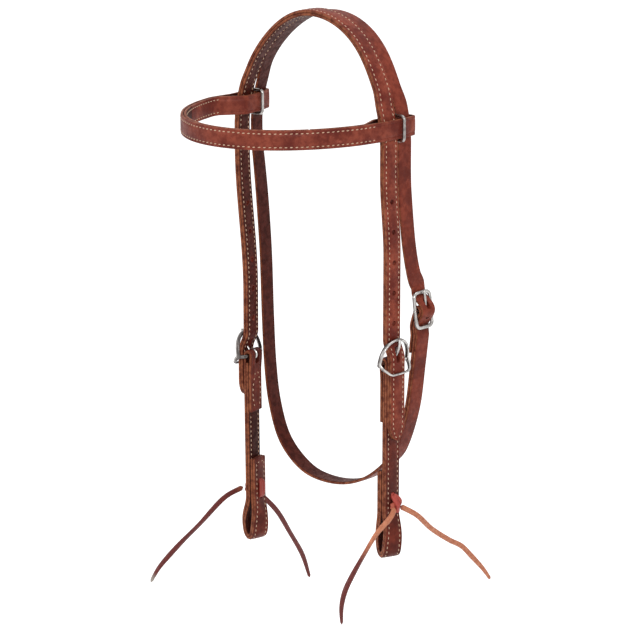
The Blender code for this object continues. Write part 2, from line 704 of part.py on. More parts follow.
def cheek_buckle(side, metal):
    """The half round frame with its bar and raised keeper, and the tongue on the bar."""
    matrix = side_matrix(side)
    axis = matrix.to_3x3() @ Vector((1.0, 0.0, 0.0))
    arch_out = DOUBLED + GAP + FRAME_RADIUS + ARCH_CLEARANCE
    keeper_out = BILLET_SHIFT + DOUBLED + GAP + FRAME_RADIUS * KEEPER_RADIUS_SHARE
    outs = (arch_out, arch_out, arch_out, arch_out * 0.72, BAR_OUT + FRAME_RADIUS)
    half = [Vector((out, w * FRAME_HALF, up * FRAME_RISE))
            for out, (w, up) in zip(outs, FRAME_SHARES)]
    keeper_outs = (BAR_OUT + FRAME_RADIUS * 1.5, keeper_out * 0.62, keeper_out * 0.97, keeper_out)
    half += [Vector((out, w * FRAME_HALF, -down * KEEPER_DROP))
             for out, (w, down) in zip(keeper_outs, KEEPER_SHARES)]
    mirrored = [Vector((point.x, -point.y, point.z)) for point in reversed(half[1:-1])]
    loop = smooth_route(half + mirrored, FRAME_RADIUS * 1.4, closed=True)
    radii = [FRAME_RADIUS if point.z > 0 else FRAME_RADIUS * KEEPER_RADIUS_SHARE for point in loop]
    frame = tube(f"{side.name}_cheek_buckle", place(loop, matrix), radii, axis, metal)
    bar_ends = place([(BAR_OUT, -FRAME_HALF, 0.0), (BAR_OUT, FRAME_HALF, 0.0)], matrix)
    bar = tube(f"{side.name} buckle bar", bar_ends, BAR_RADIUS, axis, metal, closed=False)
    join(frame, bar)

    ring_radius = BAR_RADIUS + GAP + TONGUE_RADIUS
    ring = [Vector((BAR_OUT + ring_radius * math.cos(angle), 0.0, ring_radius * math.sin(angle)))
            for angle in spread(0.0, math.tau, 16)[:-1]]
    across = matrix.to_3x3() @ Vector((0.0, 1.0, 0.0))
    tongue = tube(f"{side.name}_cheek_tongue", place(ring, matrix), TONGUE_RADIUS, across, metal,
                  sides=8)
    over = arch_out + FRAME_RADIUS + TONGUE_RADIUS + 2 * GAP
    root, low, high = TONGUE_RISE_SHARES
    prong = smooth_route([(BAR_OUT + ring_radius * root[0], 0.0, ring_radius * root[1]),
                          (over * low[0], 0.0, FRAME_RISE * low[1]),
                          (over * high[0], 0.0, FRAME_RISE * high[1]),
                          (over, 0.0, FRAME_RISE + TONGUE_OVERHANG)], FRAME_RADIUS * 1.6)
    join(tongue, tube(f"{side.name} tongue prong", place(prong, matrix), TONGUE_RADIUS, across,
                      metal, closed=False, sides=8))
    pivot(tongue, bar_middle(side))


def throat_buckle(metal):
    """The rectangular centre bar buckle of the throatlatch, and its tongue."""
    matrix = throat_matrix()
    axis = matrix.to_3x3() @ Vector((1.0, 0.0, 0.0))
    across = matrix.to_3x3() @ Vector((0.0, 1.0, 0.0))
    loop = []
    inner_w = THROAT_HALF_WIDTH - THROAT_CORNER
    inner_h = THROAT_HALF_HEIGHT - THROAT_CORNER
    for corner, (w, h) in enumerate(((1, 1), (-1, 1), (-1, -1), (1, -1))):
        for step in spread(0.0, math.pi / 2, 4):
            angle = corner * math.pi / 2 + step
            loop.append(Vector((0.0, w * inner_w + THROAT_CORNER * math.cos(angle),
                                h * inner_h + THROAT_CORNER * math.sin(angle))))
        if corner in (0, 2):
            loop.append(Vector((0.0, 0.0, h * THROAT_HALF_HEIGHT)))
    frame = tube("throat_buckle", place(loop, matrix), THROAT_WIRE, axis, metal)
    ends = [(0.0, -THROAT_HALF_WIDTH, 0.0), (0.0, THROAT_HALF_WIDTH, 0.0)]
    bar = tube("throat buckle bar", place(ends, matrix), THROAT_WIRE * 0.97, axis, metal,
               closed=False)
    join(frame, bar)
    ring_radius = THROAT_WIRE + GAP + THROAT_TONGUE
    ring = [Vector((ring_radius * math.cos(angle), 0.0, ring_radius * math.sin(angle)))
            for angle in spread(0.0, math.tau, 16)[:-1]]
    tongue = tube("throat_tongue", place(ring, matrix), THROAT_TONGUE, across, metal, sides=8)
    over = THROAT_WIRE + THROAT_TONGUE + 2 * GAP
    prong = [(ring_radius * 0.9, 0.0, ring_radius * 0.45),
             (over, 0.0, THROAT_HALF_HEIGHT * 0.55),
             (over, 0.0, THROAT_HALF_HEIGHT + TONGUE_OVERHANG)]
    join(tongue, tube("throat tongue prong", place(prong, matrix), THROAT_TONGUE, across, metal,
                      closed=False, sides=8))
    pivot(tongue, THROAT_BUCKLE)


def throat_slot(base):
    """The slot for the tongue in the chape round the throat buckle's bar."""
    outer = THROAT_WIRE + GAP + LEATHER
    slot = box("throat tongue slot", throat_matrix(), (0.0, 0.0, -THROAT_WIRE),
               (2.6 * outer, TONGUE_SLOT, 2.8 * outer))
    cut(base, slot)


def tie_knot(side, lace):
    """The lace tied through both holes of the bit end, as one loop with its knot outside."""
    matrix = side_matrix(side)
    across = matrix.to_3x3() @ Vector((0.0, 1.0, 0.0))
    outside = DOUBLED + GAP + LACE_RADIUS
    inside = -(PLY + DOUBLED + LACE_RADIUS)
    low = -LOWER_LENGTH + LACE_LOW_HEIGHT
    high = -LOWER_LENGTH + LACE_HIGH_HEIGHT
    corner = LACE_RADIUS + GAP
    loop = []
    radii = []
    centres = ((outside - corner, high - corner), (inside + corner, high - corner),
               (inside + corner, low + corner), (outside - corner, low + corner))
    for quarter, (out, up) in enumerate(centres):
        for step in spread(0.0, math.pi / 2, 3):
            angle = quarter * math.pi / 2 + step
            loop.append(Vector((out + corner * math.cos(angle), 0.0, up + corner * math.sin(angle))))
            radii.append(LACE_RADIUS)
    for share in KNOT_SHARES:
        swell = math.sin(math.pi * share)
        out = outside + (KNOT_RADIUS - LACE_RADIUS) * swell
        loop.append(Vector((out, 0.0, low + corner + (high - low - 2 * corner) * share)))
        radii.append(LACE_RADIUS + (KNOT_RADIUS - LACE_RADIUS) * swell)
    knot = tube(f"{side.name}_lace_knot", place(loop, matrix), radii, across, lace)
    pivot(knot, bar_middle(side))


def lace_tail(side, name, points, lace):
    """A free end of a lace, hanging from its knot."""
    route = smooth_route(points, TAIL_STEP)
    curve = bpy.data.curves.new(name, "CURVE")
    curve.dimensions = "3D"
    curve.bevel_depth = LACE_TAIL_RADIUS
    curve.bevel_resolution = 3
    curve.use_fill_caps = True
    spline = curve.splines.new("POLY")
    spline.points.add(len(route) - 1)
    for place_on, point in zip(spline.points, route):
        place_on.co = (*point, 1.0)
    curve.materials.append(lace)
    tail = bpy.data.objects.new(name, curve)
    bpy.context.collection.objects.link(tail)
    pivot(tail, bar_middle(side))


def band_matrix(side):
    """The axes of a browband loop: out and across from the slit, level with the band."""
    turn = side.turn if side.sign > 0 else side.turn + math.pi
    return (Matrix.Translation((side.sign * crown_out(side, BAND_DROP), 0.0, -BAND_DROP))
            @ Matrix.Rotation(turn, 4, "Z"))


def band_sizes(side):
    """How far a loop's outer and inner plies stand out from the cheek line, beside the ring."""
    middle = crown_out(side, BAND_DROP)
    outer = DOUBLED + GAP + CHEEK_OUT - middle
    inner = crown_out(side, BAND_DROP - STRAP_WIDTH / 2) - BAND_EASE - middle
    return outer, inner


def band_loop(side):
    """Both plies of a loop, from the inner one's front round the straps' backs to the front."""
    outer, inner = band_sizes(side)
    front = -STRAP_WIDTH - RING_SLOT / 2
    back = THROAT_WIDTH + RING_SLOT / 2 + BAND_BACK_EASE
    rear_out = outer - PLY + BAND_BACK_EASE
    rear_in = inner + LEATHER
    corner = BAND_CORNER
    flat = [(inner, front), (inner, RING_WIRE * 2), (rear_in, back - 2 * corner),
            (rear_in, back - corner), (rear_in + corner * 0.3, back - corner * 0.3),
            (rear_in + corner, back), (rear_out - corner, back),
            (rear_out - corner * 0.3, back - corner * 0.3), (rear_out, back - corner),
            (rear_out, back - 2 * corner), (outer, RING_WIRE * 2), (outer, front)]
    sense = side.sign
    return place([(out, across * sense, 0.0) for out, across in flat], band_matrix(side))


def browband(leather):
    """The browband with a loop folded round the straps at each end, and its lining between."""
    up = Vector((0.0, 0.0, 1.0))
    near = band_loop(NEAR)
    far = list(reversed(band_loop(FAR)))
    across = near[-1].x
    reach = BAND_REACH - BAND_CENTRE - LEATHER
    front = [Vector((across * math.cos(angle), -BAND_CENTRE - reach * math.sin(angle), -BAND_DROP))
             for angle in spread(BAND_START, math.pi - BAND_START, BAND_STEPS)]
    middle = smooth_route([near[-1]] + front + [far[0]], reach)
    under = [row.point - row.outward * GAP for row in stations(middle, up, STRAP_WIDTH / 2)]
    folded = round(BAND_STEPS * BAND_FOLD_SHARE / 2)
    first_under = round(BAND_STEPS * BAND_CONVERGE_SHARE / 2)
    count = len(under)
    near_inner = list(reversed(under[first_under:folded + 1]))
    far_inner = list(reversed(under[count - folded - 1:count - first_under]))
    points = near_inner + near[:-1] + middle + far[1:] + far_inner
    band = strap("browband_strap", stations(points, up, STRAP_WIDTH / 2), 0.0, LEATHER, leather)
    pivot(band, Vector((0.0, 0.0, -BAND_DROP)))
    between = under[folded:count - folded]
    between[0] = between[0].lerp(between[1], BAND_JOINT_SHARE)
    between[-1] = between[-1].lerp(between[-2], BAND_JOINT_SHARE)
    lining = stations(between, up, STRAP_WIDTH / 2, flip=True)
    lined = strap("browband_lining", lining, 0.0, LEATHER, leather)
    pivot(lined, Vector((0.0, 0.0, -BAND_DROP)))


def browband_ring(side, metal):
    """A wire ring round both plies of a browband loop, between the cheek and the throat strap."""
    outer, inner = band_sizes(side)
    outer += LEATHER + RING_EASE + RING_WIRE
    inner -= LEATHER + RING_EASE + RING_WIRE
    half_out = (outer - inner) / 2 - RING_CORNER
    half_up = STRAP_WIDTH / 2 + RING_EASE + RING_WIRE - RING_CORNER
    matrix = band_matrix(side)
    loop = []
    for quarter, (out, up) in enumerate(((1, 1), (-1, 1), (-1, -1), (1, -1))):
        for step in spread(0.0, math.pi / 2, 4):
            angle = quarter * math.pi / 2 + step
            loop.append(Vector(((outer + inner) / 2 + out * half_out + RING_CORNER * math.cos(angle),
                                0.0, up * half_up + RING_CORNER * math.sin(angle))))
    across = matrix.to_3x3() @ Vector((0.0, 1.0, 0.0))
    ring = tube(f"{side.name}_browband_ring", place(loop, matrix), RING_WIRE, across, metal)
    pivot(ring, Vector((0.0, 0.0, -BAND_DROP)))


def main():
    """Build every piece."""
    clear_scene()
    leather = material("russet leather", (0.30, 0.055, 0.030), 0.45)
    lace = material("latigo lace", (0.45, 0.10, 0.045), 0.5)
    metal = material("polished nickel", (0.78, 0.77, 0.74), 0.18, 1.0)
    base, overlay = crown(leather)
    billet_holes(base, overlay)
    throat_slot(base)
    for side in SIDES:
        lower_cheek(side, leather)
        cheek_buckle(side, metal)
        tie_knot(side, lace)
        browband_ring(side, metal)
    throat_buckle(metal)
    browband(leather)
    for name, points in LACE_TAILS.items():
        lace_tail(NEAR if name.startswith(NEAR.name) else FAR, name, points, lace)


main()
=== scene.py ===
"""Looks of a western headstall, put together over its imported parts.

Metres, +Z up, +X towards the horse's left (the near side), -Y towards its forehead.
"""
import math

import bpy
import numpy as np
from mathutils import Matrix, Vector


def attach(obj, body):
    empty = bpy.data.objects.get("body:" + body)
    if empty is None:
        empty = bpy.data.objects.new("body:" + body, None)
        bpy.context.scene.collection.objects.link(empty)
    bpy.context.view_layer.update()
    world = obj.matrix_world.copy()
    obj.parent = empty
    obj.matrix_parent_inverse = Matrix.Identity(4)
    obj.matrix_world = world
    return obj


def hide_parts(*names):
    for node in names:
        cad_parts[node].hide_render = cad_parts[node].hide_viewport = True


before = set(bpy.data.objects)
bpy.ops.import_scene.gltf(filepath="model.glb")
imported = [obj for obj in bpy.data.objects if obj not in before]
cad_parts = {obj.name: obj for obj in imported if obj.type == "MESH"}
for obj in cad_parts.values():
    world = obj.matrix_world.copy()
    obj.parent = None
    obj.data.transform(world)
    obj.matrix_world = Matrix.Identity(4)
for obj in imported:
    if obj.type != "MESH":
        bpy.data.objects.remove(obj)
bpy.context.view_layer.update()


# The camera stands at the near front with a long lens, a little above the browband,
# as it does in the photograph.
AZIMUTH = math.radians(45.0)
ELEVATION = math.radians(14.2)
AIM = Vector((0.0, 0.0, -0.225))
PHOTO_WIDTH = 640

toward_camera = Vector((math.sin(AZIMUTH) * math.cos(ELEVATION),
                        -math.cos(AZIMUTH) * math.cos(ELEVATION), math.sin(ELEVATION)))
camera_data = bpy.data.cameras.new("photo camera")
camera_data.lens = 162.0
camera_data.sensor_width = 36.0
camera_data.shift_x = -1.5 / PHOTO_WIDTH
camera_data.shift_y = -37.0 / PHOTO_WIDTH
camera = bpy.data.objects.new("photo camera", camera_data)
camera.location = AIM + toward_camera * 2.4
camera.rotation_euler = (-toward_camera).to_track_quat("-Z", "Y").to_euler()
bpy.context.scene.collection.objects.link(camera)
bpy.context.scene.camera = camera
bpy.context.scene.view_settings.view_transform = "Standard"


# Free ends of the two laces: flat latigo thongs, dark red on the grain side and orange on the
# flesh side, which hang from the knots that hold the bit loops shut and are cut to a point.
LACE_WIDTH = 0.0046
LACE_THICKNESS = 0.0030
LACE_TAILS = {
    "near_front_lace_tail": ((0.0947, -0.0094, -0.3976), (0.0985, -0.0190, -0.4030),
                             (0.0960, -0.0323, -0.4140), (0.0940, -0.0436, -0.4280),
                             (0.0930, -0.0577, -0.4447), (0.0930, -0.0661, -0.4562),
                             (0.0930, -0.0700, -0.4690), (0.0930, -0.0696, -0.4836)),
    "near_rear_lace_tail": ((0.0939, -0.0017, -0.3980), (0.0970, 0.0150, -0.4090),
                            (0.0940, 0.0360, -0.4265), (0.0930, 0.0591, -0.4424),
                            (0.0930, 0.0746, -0.4516), (0.0930, 0.0871, -0.4634),
                            (0.0930, 0.1028, -0.4794), (0.0930, 0.1123, -0.4912)),
    "far_front_lace_tail": ((-0.0936, -0.0033, -0.4246), (-0.0950, -0.0250, -0.4300),
                            (-0.0930, -0.0552, -0.4456), (-0.0920, -0.0793, -0.4574),
                            (-0.0920, -0.1005, -0.4705), (-0.0920, -0.1090, -0.4783),
                            (-0.0920, -0.1132, -0.4838)),
    "far_rear_lace_tail": ((-0.0938, 0.0049, -0.4265), (-0.0955, 0.0210, -0.4385),
                           (-0.0920, 0.0363, -0.4556), (-0.0920, 0.0526, -0.4800),
                           (-0.0920, 0.0678, -0.5043), (-0.0920, 0.0769, -0.5280)),
}


class Value:
    """A socket that carries a number: the operators on it add Math nodes to its material."""

    def __init__(self, finish, socket):
        self.finish = finish
        self.socket = socket

    def maths(self, operation, first, second):
        return self.finish.number("ShaderNodeMath", {"operation": operation}, {0: first, 1: second})

    def __add__(self, other):
        return self.maths("ADD", self, other)

    def __mul__(self, other):
        return self.maths("MULTIPLY", self, other)

    def __rsub__(self, other):
        return self.maths("SUBTRACT", other, self)

    __radd__ = __add__
    __rmul__ = __mul__


class Finish:
    """A material while it is put together round its Principled shader."""

    def __init__(self, name, **fixed):
        self.material = bpy.data.materials.new(name)
        self.material.use_nodes = True
        self.tree = self.material.node_tree
        self.shader = self.tree.nodes["Principled BSDF"]
        self.place = self.node("ShaderNodeTexCoord").outputs["Object"]
        for socket, value in fixed.items():
            self.shader.inputs[socket.replace("_", " ")].default_value = value

    def node(self, kind, settings=None, sockets=None):
        """Add a node: its settings are set first, then its sockets are given values or links."""
        made = self.tree.nodes.new(kind)
        for name, value in (settings or {}).items():
            setattr(made, name, value)
        for name, value in (sockets or {}).items():
            self.feed(made.inputs[name], value)
        return made

    def feed(self, socket, value):
        """Link a socket, or set its own value."""
        if isinstance(value, Value):
            value = value.socket
        if isinstance(value, bpy.types.NodeSocket):
            self.tree.links.new(value, socket)
        elif isinstance(value, tuple) and len(value) == 3 and socket.type == "RGBA":
            socket.default_value = (*value, 1.0)
        else:
            socket.default_value = value

    def number(self, kind, settings=None, sockets=None, output=0):
        """A node's output as a number."""
        return Value(self, self.node(kind, settings, sockets).outputs[output])

    def noise(self, scale, detail=3.0, roughness=0.55):
        """Cloudy noise from 0 to 1 in the piece's own metres; scale is in clouds per metre."""
        return self.number("ShaderNodeTexNoise", None, {
            "Vector": self.place, "Scale": scale, "Detail": detail, "Roughness": roughness})

    def mark(self, name):
        """A number kept at every point of the mesh."""
        return self.number("ShaderNodeAttribute", {"attribute_name": name}, output="Fac")

    def between(self, value, low, high):
        """Clamped share of a value between low and high."""
        return self.number("ShaderNodeMapRange", {"interpolation_type": "SMOOTHSTEP"},
                           {"Value": value, "From Min": low, "From Max": high})

    def blend(self, share, first, second):
        """Two colours mixed by a share."""
        made = self.node("ShaderNodeMix", {"data_type": "RGBA"})
        self.feed(made.inputs["Factor"], share)
        self.feed(made.inputs[6], first)
        self.feed(made.inputs[7], second)
        return made.outputs[2]

    def bump(self, height, strength, distance, below=None):
        """Relief from a height, over the relief already there."""
        sockets = {"Height": height, "Strength": strength, "Distance": distance}
        if below is not None:
            sockets["Normal"] = below
        return self.node("ShaderNodeBump", None, sockets).outputs[0]

    def give(self, **sockets):
        """Feed the shader."""
        for name, value in sockets.items():
            self.feed(self.shader.inputs[name.replace("_", " ")], value)
        return self.material


def rgb(red, green, blue):
    """A colour as seen, 0 to 255, as the linear light that a shader takes."""
    seen = np.array([red, green, blue]) / 255.0
    light = np.where(seen < 0.04045, seen / 12.92, ((seen + 0.055) / 1.055) ** 2.4)
    return tuple(float(value) for value in light)


def unit(ways):
    """Directions of length one."""
    return ways / np.linalg.norm(ways, axis=-1, keepdims=True)


def directions(points, closed=False):
    """The way ahead at each point: from the point before it to the point after it."""
    if closed:
        return unit(np.roll(points, -1, 0) - np.roll(points, 1, 0))
    return unit(np.gradient(points, axis=0))


def curve_through(points, step):
    """A smooth curve through points, read about every step: each stretch is a cubic whose slope at
    either end is half the way between that end's neighbours."""
    points = np.asarray(points, float)
    guide = np.vstack([2 * points[:1] - points[1:2], points, 2 * points[-1:] - points[-2:-1]])
    parts = []
    for a, b, c, d in zip(guide, guide[1:], guide[2:], guide[3:]):
        count = max(1, round(float(np.linalg.norm(c - b)) / step))
        t = (np.arange(count) / count)[:, None]
        parts.append(b + ((c - a) * t + (2 * a - 5 * b + 4 * c - d) * t ** 2
                          + (3 * b - a - 3 * c + d) * t ** 3) / 2)
    parts.append(points[-1:])
    return np.vstack(parts)


def run_along(points):
    """Distance along a path at each of its points."""
    return np.concatenate([[0.0], np.cumsum(np.linalg.norm(np.diff(points, axis=0), axis=1))])


def read_at(places, run, values):
    """Points or directions read off a path at distances along it."""
    return np.stack([np.interp(places, run, values[:, axis]) for axis in range(3)], -1)


def stacked(first, second, third):
    """Points from their three coordinates, each a number or a row of numbers."""
    return np.stack(np.broadcast_arrays(first, second, third), -1).astype(float)


def powered(values, power):
    """The power of each value's size, with its sign kept."""
    return np.sign(values) * np.abs(values) ** power


def skin(rings, closed=False, turned=False):
    """Faces through rings of points that each run anticlockwise about the way ahead; a path with
    ends gets a flat cap on each."""
    index = np.arange(rings.shape[0] * rings.shape[1]).reshape(rings.shape[:2])
    beside = np.roll(index, -1, axis=1)
    if closed:
        quads = np.stack([index, beside, np.roll(beside, -1, 0), np.roll(index, -1, 0)], -1)
    else:
        quads = np.stack([index[:-1], beside[:-1], beside[1:], index[1:]], -1)
    faces = quads.reshape(-1, 4).tolist()
    if not closed:
        faces += [index[0, ::-1].tolist(), index[-1].tolist()]
    return [face[::-1] for face in faces] if turned else faces


SHARP = 42.0


def add_piece(name, shells, finish, marks=None, sharp=SHARP):
    """One mesh from shells of (rings, faces); marks are numbers kept at every point."""
    vertices = np.vstack([rings.reshape(-1, 3) for rings, faces in shells])
    faces = []
    start = 0
    for rings, shell_faces in shells:
        faces += [[corner + start for corner in face] for face in shell_faces]
        start += rings.shape[0] * rings.shape[1]
    mesh = bpy.data.meshes.new(name)
    mesh.from_pydata(vertices.tolist(), [], faces)
    for mark, values in (marks or {}).items():
        kept = mesh.attributes.new(mark, "FLOAT", "POINT")
        kept.data.foreach_set("value", np.ascontiguousarray(values, np.float32).ravel())
    mesh.polygons.foreach_set("use_smooth", np.ones(len(mesh.polygons), bool))
    mesh.set_sharp_from_angle(angle=math.radians(sharp))
    mesh.materials.append(finish)
    made = bpy.data.objects.new(name, mesh)
    bpy.context.scene.collection.objects.link(made)
    return made


def rod(points, wide, thick, flat_way, closed=False, sides=12, squareness=1.0, twist=0.0):
    """Rings of a bar along points. Each ring is an oval across the path: its thick half lies near
    flat_way, and its wide half at a right angle to that. A squareness below 1 fills its corners."""
    along = directions(points, closed)
    flat_way = np.broadcast_to(np.asarray(flat_way, float), points.shape)
    first = unit(flat_way - along * (along * flat_way).sum(1)[:, None])
    second = np.cross(along, first)
    turn = np.linspace(0.0, math.tau, sides, endpoint=False)
    lean = np.broadcast_to(twist, len(points))[:, None]
    high = powered(np.cos(turn), squareness) * np.broadcast_to(thick, len(points))[:, None]
    side = powered(np.sin(turn), squareness) * np.broadcast_to(wide, len(points))[:, None]
    out = high * np.cos(lean) - side * np.sin(lean)
    over = high * np.sin(lean) + side * np.cos(lean)
    return points[:, None] + first[:, None] * out[:, :, None] + second[:, None] * over[:, :, None]


TAPER_START = 0.75
TAPER_TO = 0.62


def thong(points, twist):
    """Rings of a lace along points: its width falls smoothly over its last part, and both ends
    close in to a blunt point."""
    run = run_along(points)
    share = run / run[-1]
    size = 1.0 + (TAPER_TO - 1.0) * np.clip((share - TAPER_START) / (1.0 - TAPER_START), 0.0, 1.0) ** 1.4
    from_end = np.minimum(run, run[-1] - run) / (LACE_THICKNESS / 2)
    close = np.sqrt(1.0 - (1.0 - np.clip(from_end, 0.03, 1.0)) ** 2)
    return rod(points, LACE_WIDTH / 2 * size * close, LACE_THICKNESS / 2 * size * close,
               (1.0, 0.0, 0.0), sides=12, squareness=0.72, twist=twist)


def lace_finish(name):
    """Latigo: oily dark red, orange where the flesh mark is 1, with streaks along its fibres, and a pinker
    red painted on the knots as a highlight.
    """
    finish = Finish(name, Specular_IOR_Level=0.4)
    streaks = finish.between(finish.noise(420.0, 4.0, 0.6), 0.35, 0.70)
    clouds = finish.noise(90.0, 3.0)
    grain = finish.blend(clouds, rgb(78, 22, 20), rgb(122, 42, 34))
    grain = finish.blend(streaks * 0.35, grain, rgb(58, 14, 14))
    # Pinker red for the knots: a painted highlight.
    ruddy = finish.blend(clouds, rgb(150, 44, 36), rgb(196, 84, 72))
    grain = finish.blend(finish.mark("ruddy"), grain, ruddy)
    flesh = finish.blend(clouds, rgb(188, 106, 70), rgb(224, 152, 116))
    flesh = finish.blend(streaks * 0.55, flesh, rgb(150, 72, 48))
    colour = finish.blend(finish.mark("flesh"), grain, flesh)
    colour = finish.blend(finish.mark("pale_tip"), colour, rgb(170, 160, 150))
    relief = finish.bump(finish.noise(650.0, 4.0), 0.5, 0.0005)
    return finish.give(Base_Color=colour, Roughness=0.42 + 0.2 * streaks, Normal=relief)


lace_leather = lace_finish("latigo lace")
LACE_FLESH = {"near_front_lace_tail": (0.0, 0.42), "near_rear_lace_tail": (0.0, 2.0),
              "far_front_lace_tail": (-1.0, 0.0), "far_rear_lace_tail": (-1.0, 0.0)}
for lace_name, lace_points in LACE_TAILS.items():
    lace_path = curve_through(lace_points, 0.0020)
    lace_run = run_along(lace_path)
    lace_share = lace_run / lace_run[-1]
    lace_twist = 0.35 * np.sin(lace_share * 9.0 + len(lace_name))
    lace_rings = thong(lace_path, lace_twist)
    starts, stops = LACE_FLESH[lace_name]
    fresh = np.clip((stops + 0.08 - lace_share) / 0.16, 0.0, 1.0) * (lace_share > starts)
    pale = np.clip((lace_share - 0.93) / 0.05, 0.0, 1.0) * (lace_name == "far_front_lace_tail")
    sides_of_lace = lace_rings.shape[1]
    lace = add_piece(f"{lace_name}_thong", [(lace_rings, skin(lace_rings))], lace_leather,
                     {"flesh": np.repeat(fresh, sides_of_lace), "pale_tip": np.repeat(pale, sides_of_lace)})
    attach(lace, lace_name.split("_")[0] + "_cheek")
    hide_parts(lace_name)


# The crown is one wide strap of russet leather over the poll, slit down each side. Its front half
# goes on as the two cheek billets, punched every inch to take the buckles, and is doubled.
STRAP_WIDTH = 0.016
THROAT_WIDTH = 0.015
LEATHER = 0.0024
GAP = 0.0003
DOUBLED = 2 * LEATHER + GAP
PLY = LEATHER + GAP
CHEEK_OUT = 0.0835
CROWN_RISE = 0.098
CROWN_LEAN = 0.0045
CROWN_LIFT = 0.0002
STRAIGHT_DROP = 0.118
SPLIT_DROP = 0.050
SPREAD_LENGTH = 0.016
JOIN_RUN = 0.006
RING_SLOT = 0.0038
BILLET_TIP_DROP = 0.3400
TIP_LENGTH = 0.015
HOLE_PITCH = 0.0254
HOLE_WIDTH = 0.0042
USED_HOLE_RISE = 0.0075
USED_HOLE_LENGTH = 0.0134
FRAME_RISE = 0.0195
BAR_OUT = 0.00065
BILLET_SHIFT = 0.0054
UP = (0.0, 0.0, 1.0)
STEP = 0.002
CORNER = 0.0008
STITCH_INSET = 0.0026
GROOVE = 0.00038
NEAR = {"name": "near", "sign": 1.0, "bar_drop": 0.2750, "back": -0.0055, "settled": 0.186,
        "turn": 0.0, "drift": 0.0, "tuck": 0.0}
FAR = {"name": "far", "sign": -1.0, "bar_drop": 0.3030, "back": 0.0010, "settled": 0.245,
       "turn": math.radians(11.0), "drift": 0.015, "tuck": 0.0033}


# Share of the pale patches: partly wear, partly painted highlight.
SCUFF_AND_HIGHLIGHT = 0.5


def leather_finish(name, colour, depth, flesh):
    """Oiled strap leather. Slow clouds and finer mottling shift its colour, pale worn patches at random are
    partly wear and partly painted highlight, fine pores and creases give the grain, and cut edges are slicked
    brown. The under side is the matt flesh side, painted darker: partly its own colour, partly painted shade.
    The walls of punched holes are painted nearly black as shade."""
    finish = Finish(name, Specular_IOR_Level=0.10, Coat_Roughness=0.36, Coat_IOR=1.45)
    clouds = finish.between(finish.noise(48.0, 4.0, 0.6), 0.36, 0.64)
    mottle = finish.between(finish.noise(210.0, 5.0, 0.66), 0.38, 0.64)
    # Pale patches at random: partly wear, partly painted highlight.
    scuffs_and_highlights = finish.between(finish.noise(140.0, 6.0, 0.72), 0.58, 0.74)
    grain = finish.blend(clouds * 0.7, depth, colour)
    grain = finish.blend(mottle * 0.6, grain, depth)
    pale = tuple(min(1.0, channel * 1.5 + 0.02) for channel in colour)
    grain = finish.blend(scuffs_and_highlights * SCUFF_AND_HIGHLIGHT, grain, pale)
    # The under side takes the flesh colour, darkened by up to half in patches: partly its own colour, partly
    # painted shade.
    under = finish.blend(mottle, flesh, tuple(channel * 0.5 for channel in flesh))
    mixed = finish.blend(finish.mark("under"), grain, under)
    edge = finish.blend(mottle, rgb(158, 92, 62), rgb(104, 50, 34))
    mixed = finish.blend(finish.mark("edge"), mixed, edge)
    # Walls of punched holes are painted nearly black: painted shade inside the holes.
    mixed = finish.blend(finish.mark("punched"), mixed, rgb(34, 10, 8))
    pores = finish.number("ShaderNodeTexVoronoi", {"feature": "DISTANCE_TO_EDGE"},
                          {"Vector": finish.place, "Scale": 1150.0})
    relief = finish.bump(finish.between(pores, 0.0, 0.22), 0.22, 0.0003)
    relief = finish.bump(finish.noise(330.0, 5.0, 0.6), 0.40, 0.0007, relief)
    return finish.give(Base_Color=mixed, Roughness=0.46 + 0.16 * mottle, Normal=relief,
                       Coat_Weight=0.13 * (1.0 - finish.mark("under")))


def ease(value, start, end):
    """Rise smoothly from 0 to 1 between start and end."""
    share = np.clip((np.asarray(value, float) - start) / (end - start), 0.0, 1.0)
    return share * share * (3.0 - 2.0 * share)


def turned(angle):
    """The level direction across a strap that is turned about the vertical."""
    angle = np.asarray(angle, float)
    return stacked(-np.sin(angle), np.cos(angle), 0.0)


def crown_out(side, drop):
    """How far the crown's inner face is from the middle: half of an ellipse, tucked in on the far
    shoulder."""
    up = 1.0 - np.minimum(drop, CROWN_RISE) / CROWN_RISE
    out = np.sqrt(1.0 - up * up)
    return CHEEK_OUT * out - 2.0 * side["tuck"] * out * up


def arch_path(centre):
    """Points over the poll from the near split to the far one, and the way across at each."""
    limit = math.acos(1.0 - SPLIT_DROP / CROWN_RISE)
    angle = np.linspace(limit, -limit, 111)
    drop = CROWN_RISE * (1.0 - np.cos(angle))
    across = turned(FAR["turn"] * ease(-angle, limit / 15, limit))
    out = np.where(angle > 0.0, crown_out(NEAR, drop), -crown_out(FAR, drop))
    lean = CROWN_LEAN * (1.0 - ease(drop, 0.0, SPLIT_DROP))
    lift = CROWN_LIFT * (1.0 - ease(drop, 0.0, SPLIT_DROP))
    return stacked(out, lean, lift - drop) + across * centre, across


def beside_slot(drop, width):
    """How far a split strap's middle is from the slit once it has spread for the ring."""
    return (width + RING_SLOT * ease(drop, SPLIT_DROP, SPLIT_DROP + SPREAD_LENGTH)) / 2


def billet_path(side, drop):
    """Points of a cheek billet at drops below the poll, the way across, and the way out."""
    beside = beside_slot(drop, STRAP_WIDTH)
    middle = -beside + (side["back"] + beside) * ease(drop, STRAIGHT_DROP, side["settled"])
    across = np.broadcast_to(turned(side["turn"]), (len(drop), 3))
    outward = np.stack([across[:, 1], -across[:, 0], across[:, 2]], -1) * side["sign"]
    shift = BILLET_SHIFT * ease(drop, side["bar_drop"] - FRAME_RISE, side["bar_drop"] - 0.003)
    out = side["sign"] * crown_out(side, drop)
    points = stacked(out, 0.0, -drop)
    return points + across * middle[:, None] + outward * shift[:, None], across, outward


